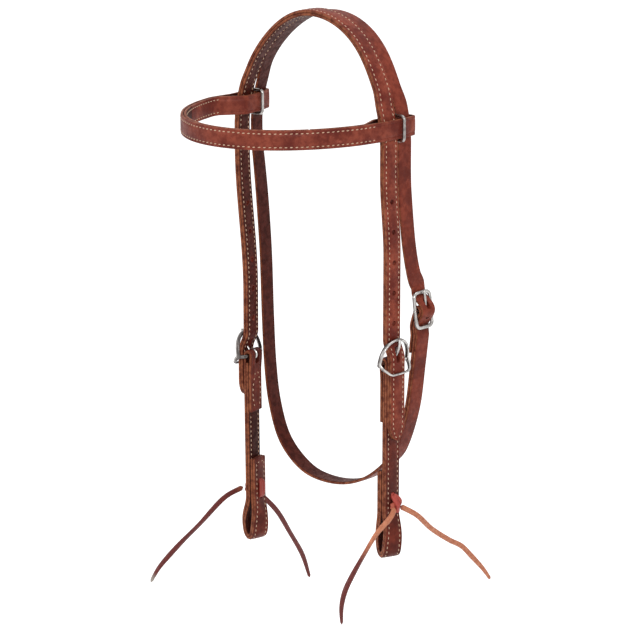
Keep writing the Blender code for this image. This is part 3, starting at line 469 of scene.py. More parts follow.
def billet_drops(side):
    """Drops from the split to the tip, and half widths: the tip is half of an ellipse."""
    end = BILLET_TIP_DROP
    body = np.arange(SPLIT_DROP + STEP, end - TIP_LENGTH, STEP)
    turn = np.linspace(0.0, math.radians(86.0), 14)
    drops = np.concatenate([body, end - TIP_LENGTH + TIP_LENGTH * np.sin(turn)])
    halves = np.concatenate([np.full(len(body), STRAP_WIDTH / 2), STRAP_WIDTH / 2 * np.cos(turn)])
    return drops, halves


def front_path():
    """The front half from the near billet's tip over the poll to the far billet's."""
    near_drops, near_halves = billet_drops(NEAR)
    far_drops, far_halves = billet_drops(FAR)
    near, near_across = billet_path(NEAR, near_drops[::-1])[:2]
    far, far_across = billet_path(FAR, far_drops)[:2]
    arch, arch_across = arch_path(-STRAP_WIDTH / 2)
    points = np.vstack([near, arch, far])
    across = np.vstack([near_across, arch_across, far_across])
    half = np.concatenate([near_halves[::-1], np.full(len(arch), STRAP_WIDTH / 2), far_halves])
    joined = np.concatenate([ease(near_drops[::-1], SPLIT_DROP + JOIN_RUN, SPLIT_DROP),
                             np.ones(len(arch)), ease(far_drops, SPLIT_DROP + JOIN_RUN, SPLIT_DROP)])
    return points, across, half, 1.0 - joined


class Strap:
    """A strap's path with the ways across and out at each point, from which its leather, grooves,
    stitches and holes are all worked out."""

    def __init__(self, points, across, half, flip=False):
        self.points = np.asarray(points, float)
        along = directions(self.points)
        across = np.broadcast_to(np.asarray(across, float), self.points.shape)
        self.along = along
        self.across = unit(across - along * (across * along).sum(1)[:, None])
        self.out = np.cross(along, self.across) if flip else np.cross(self.across, along)
        self.half = np.broadcast_to(np.asarray(half, float), len(self.points))
        self.flip = flip

    def at(self, side, height):
        """Points across by a distance and out by a height."""
        side = np.broadcast_to(side, len(self.points))[:, None]
        height = np.broadcast_to(height, len(self.points))[:, None]
        return self.points + self.across * side + self.out * height

    def part(self, mask):
        """The same strap where the mask is true."""
        made = Strap.__new__(Strap)
        made.points, made.along, made.across, made.out, made.half = (
            values[mask] for values in (self.points, self.along, self.across, self.out, self.half))
        made.flip = self.flip
        return made

    def leather(self, low, high, front=1.0, rear=1.0, grooves=(0.0, 0.0), dome=0.00022,
                corners=(1.0, 1.0)):
        """Rings and faces of the leather between two heights. Across, each ring is a rectangle with
        quarter round corners, a slightly domed face and a shallow groove under each row of stitches.
        front and rear are shares of the corners' roundness along the strap, and corners are its
        shares on the low and the high face: a glued face has small ones. Both ends close in over a
        quarter round."""
        count = len(self.points)
        ends = np.radians([0.0, 35.0, 65.0])
        order = np.concatenate([[0] * 3, np.arange(count), [count - 1] * 3])
        shrink = CORNER * 0.8 * np.concatenate([1 - np.sin(ends), np.zeros(count), 1 - np.sin(ends[::-1])])
        ahead = CORNER * 0.8 * np.concatenate([-np.cos(ends), np.zeros(count), np.cos(ends[::-1])])
        points = self.points[order] + self.along[order] * ahead[:, None]
        half = np.maximum(self.half[order] - shrink, 0.00005)
        roundness = {-1: np.broadcast_to(front, count)[order], 1: np.broadcast_to(rear, count)[order]}
        turn = np.radians([0.0, 25.0, 50.0, 72.0, 90.0])
        quarter = [(1 - math.cos(t), 0.0, 1 - math.sin(t), 0.0) for t in turn]
        channel = [(0.0, STITCH_INSET - 0.0006, 0.0, 0.0), (0.0, STITCH_INSET, 0.0, 1.0),
                   (0.0, STITCH_INSET + 0.0006, 0.0, 0.0), (0.0, 0.0055, 0.0, 0.0)]
        half_face = quarter + channel
        sides, heights, edges, unders = [], [], [], []
        for level, sense, groove, under, sharp in ((low, 1.0, grooves[0], 1.0, corners[0]),
                                                   (high, -1.0, grooves[1], 0.0, corners[1])):
            first = -1 if under else 1
            for side, entries in ((first, half_face), (0, [None]), (-first, half_face[::-1])):
                for entry in entries:
                    if entry is None:
                        sides.append(np.zeros(len(order)))
                        heights.append(level + sense * (shrink - dome))
                        edges.append(np.zeros(len(order)))
                        unders.append(np.full(len(order), under))
                        continue
                    corner_in, inset, corner_up, dip = entry
                    corner = np.minimum(CORNER * roundness[side] * sharp, half * 0.7)
                    reach = np.maximum(half - corner * corner_in - inset, 0.0)
                    bow = dome * (1.0 - (reach / half) ** 2)
                    sides.append(side * reach)
                    heights.append(level + sense * (shrink + corner * corner_up + groove * dip - bow))
                    edges.append(np.full(len(order), min(1.0, corner_up * 1.2)) * roundness[side])
                    unders.append(np.full(len(order), under))
        sides, heights = np.stack(sides, -1), np.stack(heights, -1)
        rings = (points[:, None] + self.across[order][:, None] * sides[:, :, None]
                 + self.out[order][:, None] * heights[:, :, None])
        marks = {"edge": np.stack(edges, -1).ravel(), "under": np.stack(unders, -1).ravel()}
        return rings, skin(rings, turned=not self.flip), marks


def punched(piece, cutters):
    """Take closed cutters, each (rings, faces), out of a piece and keep the result as its mesh."""
    count = sum(rings.shape[0] * rings.shape[1] for rings, faces in cutters)
    # The cut walls carry the punched mark, which the leather paints nearly black as shade in the holes.
    marks = {"edge": np.zeros(count), "under": np.ones(count), "punched": np.ones(count)}
    cutter = add_piece(f"{piece.name} punch", cutters, piece.data.materials[0], marks)
    modifier = piece.modifiers.new("punch", "BOOLEAN")
    modifier.operation = "DIFFERENCE"
    modifier.solver = "MANIFOLD"
    modifier.object = cutter
    cut = bpy.data.meshes.new_from_object(piece.evaluated_get(bpy.context.evaluated_depsgraph_get()))
    piece.modifiers.clear()
    piece.data = cut
    cut.polygons.foreach_set("use_smooth", np.ones(len(cut.polygons), bool))
    cut.set_sharp_from_angle(angle=math.radians(SHARP))
    bpy.data.objects.remove(cutter)


def ply(name, strap, low, high, finish, under_out=False, **shape):
    """One layer of a strap's leather as a piece; under_out gives its high face the dull side."""
    rings, faces, marks = strap.leather(low, high, **shape)
    if under_out:
        marks["under"] = 1.0 - marks["under"]
    return add_piece(name, [(rings, faces)], finish, marks)


def punch(centre, outward, along, length, width, depth):
    """A closed cutter through a strap: a round hole, or a slot with round ends where length is
    more than width."""
    centre, outward, along = (np.asarray(value, float) for value in (centre, outward, along))
    across = np.cross(along, outward)
    turn = np.linspace(0.0, math.tau, 28, endpoint=False) + math.tau / 56
    reach = np.sin(turn) * width / 2 + np.sign(np.sin(turn)) * max((length - width) / 2, 0.0)
    outline = (centre + across * (np.cos(turn) * width / 2)[:, None] + along * reach[:, None])
    rings = np.stack([outline - outward * depth, outline + outward * depth])
    return rings, skin(rings, turned=float(np.dot(np.cross(across, along), outward)) < 0.0)


STITCH_PITCH = 0.0042
STITCH_LENGTH = 0.0027
STITCH_RADIUS = 0.00052
STITCH_SLANT = 0.10
LOOK_AHEAD = 0.0004
THREAD_SINK = GROOVE * 0.4


def thread_finish():
    """Waxed cream thread, a little grubby."""
    finish = Finish("waxed thread", Specular_IOR_Level=0.3)
    grime = finish.noise(500.0, 3.0)
    colour = finish.blend(grime, rgb(232, 204, 176), rgb(196, 152, 124))
    return finish.give(Base_Color=colour, Roughness=0.55,
                       Normal=finish.bump(finish.noise(2600.0, 2.0), 0.4, 0.0002))


thread = thread_finish()


def stitch_shell(row, out):
    """Stitches along a row: each is a slim spindle of six sides that lies along the row and sinks
    into the leather at both ends."""
    run = run_along(row)
    count = max(2, int(run[-1] / STITCH_PITCH))
    middle = (np.arange(count) + 0.5) * run[-1] / count
    points = read_at(middle, run, row)
    ahead = unit(read_at(middle + LOOK_AHEAD, run, row) - read_at(middle - LOOK_AHEAD, run, row))
    up = read_at(middle, run, out)
    up = unit(up - ahead * (up * ahead).sum(1)[:, None])
    over = np.cross(up, ahead)
    lengthways = np.array([-1.0, -0.62, 0.0, 0.62, 1.0])
    girth = np.array([0.30, 0.80, 1.0, 0.80, 0.30])
    sink = np.array([-0.9, -0.25, 0.15, -0.25, -0.9])
    turn = np.linspace(0.0, math.tau, 6, endpoint=False)
    along_by = np.repeat(lengthways, 6) * STITCH_LENGTH / 2
    over_by = (girth[:, None] * np.cos(turn)).ravel() * STITCH_RADIUS + STITCH_SLANT * along_by
    up_by = ((girth[:, None] * np.sin(turn)) + sink[:, None]).ravel() * STITCH_RADIUS
    spindle = (points[:, None] + ahead[:, None] * along_by[:, None]
               + over[:, None] * over_by[:, None] + up[:, None] * up_by[:, None])
    one = skin(np.zeros((5, 6, 3)), turned=True)
    faces = (np.arange(count)[:, None, None] * 30 + np.array(one[:-2])[None]).reshape(-1, 4).tolist()
    for cap in one[-2:]:
        faces += (np.arange(count)[:, None] * 30 + np.array(cap)[None]).tolist()
    return spindle.reshape(count * 5, 6, 3), faces


def edge_rows(strap, height, under=False):
    """The two rows of stitches along a strap's edges, with the way up from the leather."""
    rows = []
    for side in (-1.0, 1.0):
        reach = np.maximum(strap.half - STITCH_INSET, 0.0)
        rows.append((strap.at(side * reach, height), -strap.out if under else strap.out))
    return rows


def sew(name, rows, body):
    """All stitches of a seam as one piece."""
    seam = add_piece(name, [stitch_shell(row, out) for row, out in rows], thread, sharp=75.0)
    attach(seam, body)
    return seam


*front_lines, front_free = front_path()
front = Strap(*front_lines)
GLUED = 0.3
# The flesh side is dark partly as its own colour and partly as painted shade.
FLESH_SIDE_IN_SHADE = rgb(84, 30, 20)
crown_leather = leather_finish("russet crown leather", rgb(156, 70, 50), rgb(98, 35, 24), FLESH_SIDE_IN_SHADE)
overlay_leather = leather_finish("russet overlay leather", rgb(170, 84, 62), rgb(104, 37, 27), FLESH_SIDE_IN_SHADE)
crown_front = ply("crown_front_ply", front, 0.0, LEATHER, crown_leather, rear=front_free, dome=0.0,
                  grooves=(GROOVE, 0.0), corners=(1.0, GLUED))
overlay = ply("crown_top_ply", front, PLY, DOUBLED, overlay_leather, grooves=(0.0, GROOVE),
              corners=(GLUED, 1.0))

billet_punches = []
for side in (NEAR, FAR):
    hole_drops = side["bar_drop"] - USED_HOLE_RISE - HOLE_PITCH * np.arange(6)
    centres, _, outs = billet_path(side, hole_drops)
    for index in range(6):
        length = USED_HOLE_LENGTH if index == 0 else HOLE_WIDTH
        billet_punches.append(punch(centres[index], outs[index], UP, length, HOLE_WIDTH, 4 * DOUBLED))
punched(crown_front, billet_punches)
punched(overlay, billet_punches)
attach(crown_front, "headstall")
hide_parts("crown_strap")
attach(overlay, "headstall")
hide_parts("crown_overlay")
seam_part = front.part(slice(3, -3))
sew("crown_stitches", edge_rows(seam_part, DOUBLED - THREAD_SINK)
    + edge_rows(seam_part, THREAD_SINK, under=True), "headstall")


# The rear half of the crown is the same leather, plain: down the near side it is the throat
# billet, and down the far side it runs on under the throat and up to the near buckle's bar.
THROAT_SETTLED = 0.186
THROAT_DROP = 0.4040
TURN_SHARES = (0.55, 0.95)
THROAT_BUCKLE = np.array((0.0925, 0.0250, -0.2353))
THROAT_TURN = math.radians(1.0)
FAR_THROAT_TURN = math.radians(7.0)
THROAT_LEAN = math.radians(8.0)
THROAT_WIRE = 0.0016
THROAT_HALF_WIDTH = 0.0094
THROAT_HALF_HEIGHT = 0.0144
THROAT_SPAN = 1.45 * THROAT_HALF_HEIGHT
THROAT_CHAPE = 0.040
TAIL_END = np.array((0.0590, 0.0249, -0.3726))
THROAT_HOLE_DROPS = (0.2030, 0.2735, 0.2975)
TONGUE_SLOT = 0.0052
NEAR_BILLET_SHARES = ((1.003, 0.68, 0.34), (1.012, 0.95, 0.44), (1.030, 1.24, 0.505))
FAR_THROAT_SHARES = ((-1.005, 0.68, 0.33), (-1.012, 0.98, 0.42), (-1.012, 1.23, 0.54),
                     (-0.985, 1.22, 0.67), (-0.953, 1.23, 0.78), (-0.925, 1.45, 0.868),
                     (-0.80, 1.60, 0.943), (-0.51, 1.62, 0.989), (-0.18, 1.63, 1.0),
                     (0.18, 1.63, 0.988), (0.50, 1.64, 0.953), (0.76, 1.66, 0.895),
                     (0.935, 1.68, 0.80), (1.01, 1.69, 0.70))


def turned_frame(turn, lean=0.0):
    """Axes out, across and up as rows, turned about the vertical and leant about across."""
    out = np.array((math.cos(turn), math.sin(turn), 0.0))
    across = np.array((-math.sin(turn), math.cos(turn), 0.0))
    up = np.array((0.0, 0.0, 1.0))
    return np.stack([out * math.cos(lean) + up * math.sin(lean), across,
                     up * math.cos(lean) - out * math.sin(lean)])


def outward_frame(side):
    """A side's axes, with out pointing away from the horse."""
    return turned_frame(side["turn"] if side["sign"] > 0 else side["turn"] + math.pi)


throat_axes = turned_frame(THROAT_TURN, THROAT_LEAN)


def throat_local(heights, inset):
    """Points of the billet's inner face at heights above the bar: it swells over the bar by half of
    a cosine, and is moved in by inset."""
    low = -(THROAT_WIRE + 2 * GAP + LEATHER)
    high = THROAT_WIRE + GAP + PLY
    reach = np.minimum(np.abs(heights) / THROAT_HALF_HEIGHT, 1.0)
    out = low + (high - low) * (1.0 + np.cos(math.pi * reach)) / 2
    flat = stacked(out, 0.0, heights)
    rows = Strap(flat, (0.0, 1.0, 0.0), THROAT_WIDTH / 2)
    return (flat - rows.out * inset) @ throat_axes + THROAT_BUCKLE


def share_points(shares):
    """Points given as shares of the cheek's distance, the throat's width and its drop."""
    return np.array(shares) * (CHEEK_OUT, THROAT_WIDTH, -THROAT_DROP)


def throat_beside(side, drops):
    """Points of a throat strap beside its cheek billet, where the browband holds them."""
    out = side["sign"] * crown_out(side, drops)
    return stacked(out, 0.0, -drops) + turned(side["turn"]) * beside_slot(drops, THROAT_WIDTH)[:, None]


def long_strap():
    """The far throat strap: down the cheek, under the throat and up to the near buckle's bar."""
    buckle = throat_local(np.linspace(-THROAT_SPAN, 0.0, 22), PLY)
    start = throat_beside(FAR, np.arange(SPLIT_DROP + STEP, STRAIGHT_DROP + 1e-6, STEP))
    guide = np.vstack([start[-1:], share_points(FAR_THROAT_SHARES), buckle[:1]])
    loop = curve_through(guide, STEP)
    points = np.vstack([start, loop[1:-1], buckle])
    settle = ease(-points[:, 2], STRAIGHT_DROP, THROAT_SETTLED)
    settled_turn = np.where(points[:, 0] > 0.0, THROAT_TURN, FAR_THROAT_TURN)
    turn = FAR["turn"] + (settled_turn - FAR["turn"]) * settle
    ways = turned(turn * ease(np.abs(points[:, 0]) / CHEEK_OUT, *TURN_SHARES))
    return Strap(points, ways, THROAT_WIDTH / 2)


long_part = long_strap()
from_end = run_along(long_part.points[::-1])[::-1]
tail_start = int(np.argmin(np.linalg.norm(long_part.points - TAIL_END, axis=1)))
tail_points = (long_part.points + long_part.out * PLY)[tail_start:]
tail_run = run_along(tail_points)
tail_short = (1.0 - tail_run / TIP_LENGTH).clip(0.0, 1.0)
tail_half = THROAT_WIDTH / 2 * np.sqrt(np.clip(1.0 - tail_short ** 2, 0.0, 1.0))
billet_above = throat_local(np.linspace(0.0, THROAT_SPAN, 22)[1:], 0.0)
near_start = throat_beside(NEAR, np.arange(SPLIT_DROP + STEP, STRAIGHT_DROP + 1e-6, STEP))
near_middle = curve_through(np.vstack([billet_above[-1:], share_points(NEAR_BILLET_SHARES[::-1]),
                                       near_start[-1:]]), STEP)
near_part = np.vstack([billet_above, near_middle[1:-1], near_start[::-1]])
rear_arch, rear_arch_across = arch_path(THROAT_WIDTH / 2)
bend = np.linspace(0.0, math.pi, 14)[1:]
fold = stacked((THROAT_WIRE + GAP) * np.cos(bend), 0.0, (THROAT_WIRE + GAP) * np.sin(bend))
fold = fold @ throat_axes + THROAT_BUCKLE
inner_mask = (from_end > THROAT_WIRE + LEATHER) & (from_end < THROAT_CHAPE)
inner_beside = 2 * GAP + 2 * THROAT_WIRE * (1.0 - ease(from_end, 0.0, THROAT_HALF_HEIGHT))
inner = (long_part.points - long_part.out * inner_beside[:, None])[inner_mask][::-1]
near_ways = turned(THROAT_TURN * ease(-near_part[:, 2], STRAIGHT_DROP, THROAT_SETTLED))
buckle_ways = np.tile(turned(THROAT_TURN), (len(fold) + len(inner), 1))
rear_points = np.vstack([tail_points, near_part, rear_arch, long_part.points, fold, inner])
rear_ways = np.vstack([long_part.across[tail_start:], near_ways, rear_arch_across, long_part.across,
                       buckle_ways])
rear_half = np.concatenate([np.maximum(tail_half, 0.0006),
                            np.full(len(rear_points) - len(tail_half), THROAT_WIDTH / 2)])
rear = Strap(rear_points, rear_ways, rear_half)
near_count = len(tail_points) + len(near_part)
rear_drop = -rear_points[:, 2]
rear_free = np.ones(len(rear_points))
around_arch = slice(near_count - 6, near_count + len(rear_arch) + 6)
rear_free[around_arch] = 1.0 - ease(rear_drop[around_arch], SPLIT_DROP + JOIN_RUN, SPLIT_DROP)
crown_rear = ply("crown_rear_strap", rear, 0.0, LEATHER, crown_leather, front=rear_free, dome=0.00015)
throat_out, throat_across, throat_up = throat_axes
throat_fold = THROAT_WIRE + GAP + LEATHER
rear_punches = [punch(THROAT_BUCKLE + throat_up * 0.37 * THROAT_HALF_HEIGHT + throat_out * throat_fold * 1.5,
                      throat_out, throat_up, 0.70 * THROAT_HALF_HEIGHT, HOLE_WIDTH, throat_fold)]
for hole_drop in THROAT_HOLE_DROPS:
    index = int(np.argmin(np.abs(rear_points[:near_count, 2] + hole_drop)))
    rear_punches.append(punch(rear.at(0.0, LEATHER / 2)[index], rear.out[index], rear.along[index],
                              HOLE_WIDTH, HOLE_WIDTH, LEATHER / 2 + 0.00012))
punched(crown_rear, rear_punches)
punched(crown_rear, [punch(THROAT_BUCKLE - throat_up * THROAT_WIRE, throat_out, throat_up,
                           2.8 * throat_fold, TONGUE_SLOT, throat_fold + GAP / 2)])
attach(crown_rear, "headstall")
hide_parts("crown_strap")


# Each lower cheek is one doubled strap. Its top is turned round the buckle's bar and stitched
# down, and its bottom is turned up inside as the loop that a bit hangs in.
CHAPE_LENGTH = 0.050
CHAPE_CLOSE_RUN = 0.0160
LINING_DROP = 0.0070
LOWER_LENGTH = 0.1685
LOOP_RETURN = 0.070
LOOP_HEIGHT = 0.0360
LOOP_OUTER_BULGE = 0.0049
LOOP_INNER_BULGE = 0.0027
LOOP_BOTTOM_RISE = 0.0100
LOOP_TWIST = math.radians(-20.0)
BAR_RADIUS = 0.00175
LACE_LOW = 0.0405
LACE_HIGH = 0.0555
LACE_HOLE = 0.0046
FOLD_OUTER = BAR_RADIUS + GAP + LEATHER


class CheekFrame:
    """A lower cheek's own axes out, across and up from the middle of its bar, with its drift."""

    def __init__(self, side):
        self.side = side
        self.axes = outward_frame(side)
        self.start = (np.array((side["sign"] * CHEEK_OUT, 0.0, -side["bar_drop"]))
                      + turned(side["turn"]) * side["back"])

    def way(self, ways):
        """Directions in the world."""
        ways = np.array(ways, float)
        ways[..., 1] += self.side["drift"] * ways[..., 2]
        return ways @ self.axes

    def world(self, points):
        """Points in the world."""
        return self.way(points) + self.start


def soften(points, step, reach):
    """A path evened out to a step and rounded by a bell curve of the given reach; its ends stay."""
    run = run_along(points)
    even = np.linspace(0.0, run[-1], max(8, round(run[-1] / step)) + 1)
    path = read_at(even, run, points)
    gap = even[1]
    width = max(1, int(3 * reach / gap))
    bell = np.exp(-0.5 * (np.arange(-width, width + 1) * gap / reach) ** 2)
    bell /= bell.sum()
    before = 2 * path[:1] - path[1:width + 1][::-1]
    after = 2 * path[-1:] - path[-width - 1:-1][::-1]
    long_path = np.vstack([before, path, after])
    return np.stack([np.convolve(long_path[:, axis], bell, "valid") for axis in range(3)], -1)


def lower_path():
    """The lining's inner face, out and up from the bar: straight down, out round the bit loop by an
    eased bulge, back over half of an ellipse, and up to the returned end."""
    bottom = -LOWER_LENGTH + DOUBLED
    knot = bottom + LOOP_HEIGHT
    wide = bottom + LOOP_BOTTOM_RISE
    share = np.linspace(0.0, 1.0, 18)[1:]
    straight = np.linspace(-LINING_DROP, knot, 60)
    angle = np.linspace(0.0, math.pi, 24)[1:-1]
    middle = (LOOP_OUTER_BULGE - LOOP_INNER_BULGE) / 2
    half = (LOOP_OUTER_BULGE + LOOP_INNER_BULGE) / 2
    back = share[::-1]
    returned = np.linspace(knot, bottom + LOOP_RETURN, 18)
    out = np.concatenate([0.0 * straight, LOOP_OUTER_BULGE * ease(share, 0.0, 1.0),
                          middle + half * np.cos(angle),
                          -GAP - (LOOP_INNER_BULGE - GAP) * ease(back, 0.0, 1.0),
                          -GAP + 0.0 * returned])
    up = np.concatenate([straight, knot + (wide - knot) * share,
                         wide - LOOP_BOTTOM_RISE * np.sin(angle), knot + (wide - knot) * back, returned])
    return soften(stacked(out, 0.0, up), 0.0015, 0.0016)


def spun(ways, angles):
    """Places or directions turned by an angle each about the strap's own line."""
    ways = np.broadcast_to(ways, (len(angles), 3))
    return stacked(ways[:, 0] * np.cos(angles) - ways[:, 1] * np.sin(angles),
                   ways[:, 0] * np.sin(angles) + ways[:, 1] * np.cos(angles), ways[:, 2])


lining_path = lower_path()
loop_spin = LOOP_TWIST * ease(-lining_path[:, 2], LOWER_LENGTH - LOOP_HEIGHT, LOWER_LENGTH - LOOP_BOTTOM_RISE)
lining_across = spun((0.0, 1.0, 0.0), loop_spin)
lining_local = Strap(spun(lining_path, loop_spin), lining_across, STRAP_WIDTH / 2, flip=True)
chape_up = np.linspace(-CHAPE_LENGTH, 0.0, 32)[:-1]
fold_in = BAR_OUT - BAR_RADIUS - GAP
chape_out = fold_in - (fold_in + GAP) * ease(-chape_up, 0.0, CHAPE_CLOSE_RUN)
bar_bend = np.linspace(math.pi, 0.0, 15)
bar_fold = stacked(BAR_OUT + (BAR_RADIUS + GAP) * np.cos(bar_bend), 0.0,
                   (BAR_RADIUS + GAP) * np.sin(bar_bend))
top_count = len(chape_up) + len(bar_fold)
cheek_path = np.vstack([stacked(chape_out, 0.0, chape_up), bar_fold, lining_local.at(0.0, PLY)])
cheek_across = np.vstack([np.tile((0.0, 1.0, 0.0), (top_count, 1)), lining_across])
# The lower cheeks take a darker copy of the russet leather: painted shade for light that falls off lower
# down.
shaded_cheek_leather = leather_finish("russet cheek leather in painted shade", rgb(130, 54, 38), rgb(80, 28, 20), rgb(66, 24, 16))

for side in (NEAR, FAR):
    name = side["name"]
    cheek = CheekFrame(side)
    strap = Strap(cheek.world(cheek_path), cheek.way(cheek_across), STRAP_WIDTH / 2, flip=True)
    lining = Strap(cheek.world(lining_local.points), cheek.way(lining_across), STRAP_WIDTH / 2, flip=True)
    cheek_piece = ply(f"{name}_cheek_outer_ply", strap, 0.0, LEATHER, shaded_cheek_leather,
                      grooves=(0.0, GROOVE), corners=(GLUED, 1.0))
    lining_piece = ply(f"{name}_cheek_inner_ply", lining, 0.0, LEATHER, shaded_cheek_leather,
                       grooves=(GROOVE, 0.0), dome=0.0001, corners=(1.0, GLUED))
    out_way, up_way = cheek.way((1.0, 0.0, 0.0)), unit(cheek.way(UP))
    lace_punches = [punch(cheek.world((0.0, 0.0, -LOWER_LENGTH + rise)), out_way, up_way, LACE_HOLE,
                          LACE_HOLE, 4 * DOUBLED) for rise in (LACE_LOW, LACE_HIGH)]
    tongue_slot = punch(cheek.world((BAR_OUT, 0.0, -BAR_RADIUS)), out_way, up_way,
                        2.8 * FOLD_OUTER, TONGUE_SLOT, 4 * FOLD_OUTER)
    punched(cheek_piece, lace_punches + [tongue_slot])
    punched(lining_piece, lace_punches)
    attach(cheek_piece, f"{name}_cheek")
    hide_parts(f"{name}_cheek_strap")
    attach(lining_piece, f"{name}_cheek")
    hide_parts(f"{name}_cheek_lining")

    outside = np.arange(len(cheek_path)) > top_count + 2
    outer_part = strap.part(outside)
    outer_part = outer_part.part(slice(0, len(outer_part.points) - 2))
    seams = edge_rows(outer_part, LEATHER - THREAD_SINK)
    first_half = np.arange(len(lining_path)) < len(lining_path) // 2
    inner_part = lining.part(first_half & (lining_path[:, 2] < -CHAPE_LENGTH - 0.003))
    seams += edge_rows(inner_part, THREAD_SINK, under=True)
    end_row = outer_part.part(slice(-1, None))
    width_share = np.linspace(-1.0, 1.0, 12)[:, None] * (STRAP_WIDTH / 2 - STITCH_INSET)
    seams.append((end_row.at(0.0, LEATHER) + end_row.across * width_share, np.tile(end_row.out, (12, 1))))
    chape_part = strap.part(slice(2, len(chape_up) - 8))
    waist = 0.0016 + 0.0038 * np.sin(np.linspace(0.15 * math.pi, math.pi, len(chape_part.points)))
    seams += [(chape_part.at(way * waist, LEATHER), chape_part.out) for way in (-1.0, 1.0)]
    sew(f"{name}_cheek_stitches", seams, f"{name}_cheek")


# The browband goes round the forehead. Each end is folded back into a loop round the cheek and
# throat straps and sewn to its own back, and a lining fills the space between the two ends.
BAND_DROP = 0.0815
BAND_REACH = 0.1295
BAND_CENTRE = 0.014
BAND_START = math.radians(14.0)
BAND_EASE = 0.0030
BAND_BACK_EASE = 0.0009
BAND_CORNER = 0.0017
BAND_STITCHED = -0.0270
RING_WIRE = 0.0013
RING_CORNER = 0.0030
RING_EASE = 0.0008


def band_place(side, flat):
    """Points given as out and across from the slit, in the world, level with the band."""
    start = np.array((side["sign"] * float(crown_out(side, BAND_DROP)), 0.0, -BAND_DROP))
    flat = np.asarray(flat, float)
    return stacked(flat[:, 0], flat[:, 1] * side["sign"], 0.0) @ outward_frame(side) + start


def band_sizes(side):
    """How far a loop's outer and inner plies stand out from the cheek line, beside the ring."""
    middle = float(crown_out(side, BAND_DROP))
    outer = DOUBLED + GAP + CHEEK_OUT - middle
    inner = float(crown_out(side, BAND_DROP - STRAP_WIDTH / 2)) - BAND_EASE - middle
    return outer, inner


def band_loop(side):
    """Both plies of a loop, from the inner one's front round the straps' backs to the front."""
    outer, inner = band_sizes(side)
    start = -STRAP_WIDTH - RING_SLOT / 2
    back = THROAT_WIDTH + RING_SLOT / 2 + BAND_BACK_EASE
    rear_out = outer - PLY + BAND_BACK_EASE
    rear_in = inner + LEATHER
    corner = BAND_CORNER
    return band_place(side, [
        (inner, start), (inner, RING_WIRE * 2), (rear_in, back - 2 * corner), (rear_in, back - corner),
        (rear_in + corner * 0.3, back - corner * 0.3), (rear_in + corner, back),
        (rear_out - corner, back), (rear_out - corner * 0.3, back - corner * 0.3),
        (rear_out, back - corner), (rear_out, back - 2 * corner), (outer, RING_WIRE * 2),
        (outer, start)])


near_loop = band_loop(NEAR)
far_loop = band_loop(FAR)[::-1]
band_angle = np.linspace(BAND_START, math.pi - BAND_START, 31)
band_across = near_loop[-1][0]
band_front = stacked(band_across * np.cos(band_angle),
                     -BAND_CENTRE - (BAND_REACH - BAND_CENTRE - LEATHER) * np.sin(band_angle), -BAND_DROP)
band_middle = curve_through(np.vstack([near_loop[-1:], band_front, far_loop[:1]]), STEP)
middle_rows = Strap(band_middle, UP, STRAP_WIDTH / 2)
band_under = middle_rows.at(0.0, -GAP)
middle_angle = np.arctan2(-(band_middle[:, 1] + BAND_CENTRE), band_middle[:, 0])
fold_angle = BAND_START + 6 * (math.pi - 2 * BAND_START) / 30
near_under = (middle_angle > BAND_START) & (middle_angle < fold_angle)
far_under = (middle_angle < math.pi - BAND_START) & (middle_angle > math.pi - fold_angle)
band_points = np.vstack([band_under[near_under][::-1], near_loop[:-1], band_middle, far_loop[1:],
                         band_under[far_under][::-1]])
band = Strap(soften(band_points, 0.0016, 0.0011), UP, STRAP_WIDTH / 2)
# Its flesh side colour is dark partly as its own colour and partly as painted shade.
band_leather = leather_finish("russet browband leather", rgb(164, 82, 62), rgb(100, 36, 27), rgb(60, 20, 14))
band_piece = ply("browband_outer_ply", band, 0.0, LEATHER, band_leather, grooves=(0.0, GROOVE))
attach(band_piece, "browband")
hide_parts("browband_strap")
between_ends = (middle_angle > fold_angle + 0.006) & (middle_angle < math.pi - fold_angle - 0.006)
band_lining = Strap(band_under[between_ends], UP, STRAP_WIDTH / 2, flip=True)
band_lining_piece = ply("browband_inner_ply", band_lining, 0.0, LEATHER, band_leather,
                        under_out=True, grooves=(0.0, GROOVE))
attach(band_lining_piece, "browband")
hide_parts("browband_lining")
outer_face = middle_rows.part(band_middle[:, 1] < BAND_STITCHED)
inner_face = Strap(band_under[band_middle[:, 1] < BAND_STITCHED], UP, STRAP_WIDTH / 2, flip=True)
sew("browband_stitches", edge_rows(outer_face, LEATHER - THREAD_SINK)
    + edge_rows(inner_face, LEATHER - THREAD_SINK), "browband")


# A nickel wire ring, bent to a rectangle, goes round each browband loop between the cheek and the
# throat strap and keeps the loop narrow.
def nickel_finish():
    """Nickel plate, tarnished in random patches, with painted shade and dark painted reflections on the sides
    of each wire, away from its bright side.
    """
    finish = Finish("nickel plate", Metallic=1.0)
    tarnish = finish.between(finish.noise(180.0, 5.0, 0.6), 0.35, 0.75)
    flank = finish.mark("flank")
    colour = finish.blend(tarnish, rgb(196, 193, 190), rgb(128, 123, 120))
    # Painted shade: the sides of each wire are darkened towards dark grey, standing in for shade and dark
    # reflections.
    colour = finish.blend(flank * 0.85, colour, rgb(66, 58, 56))
    scratches = finish.noise(1500.0, 4.0)
    return finish.give(Base_Color=colour, Roughness=0.20 + 0.22 * tarnish,
                       Normal=finish.bump(scratches, 0.08, 0.0002))


nickel = nickel_finish()


FLANK_SHADE_SPREAD = 0.9


def painted_flank_shades(rings, bright=0.0):
    """How far each point of a wire's rings is turned away from its bright side, from 0 to 1: the share of
    painted shade on the wire's sides.
    """
    turn = np.linspace(0.0, math.tau, rings.shape[1], endpoint=False) - bright
    flank_shade_share = np.clip((FLANK_SHADE_SPREAD - np.cos(turn)) / FLANK_SHADE_SPREAD, 0.0, 1.0) ** 2
    return np.tile(flank_shade_share, len(rings))


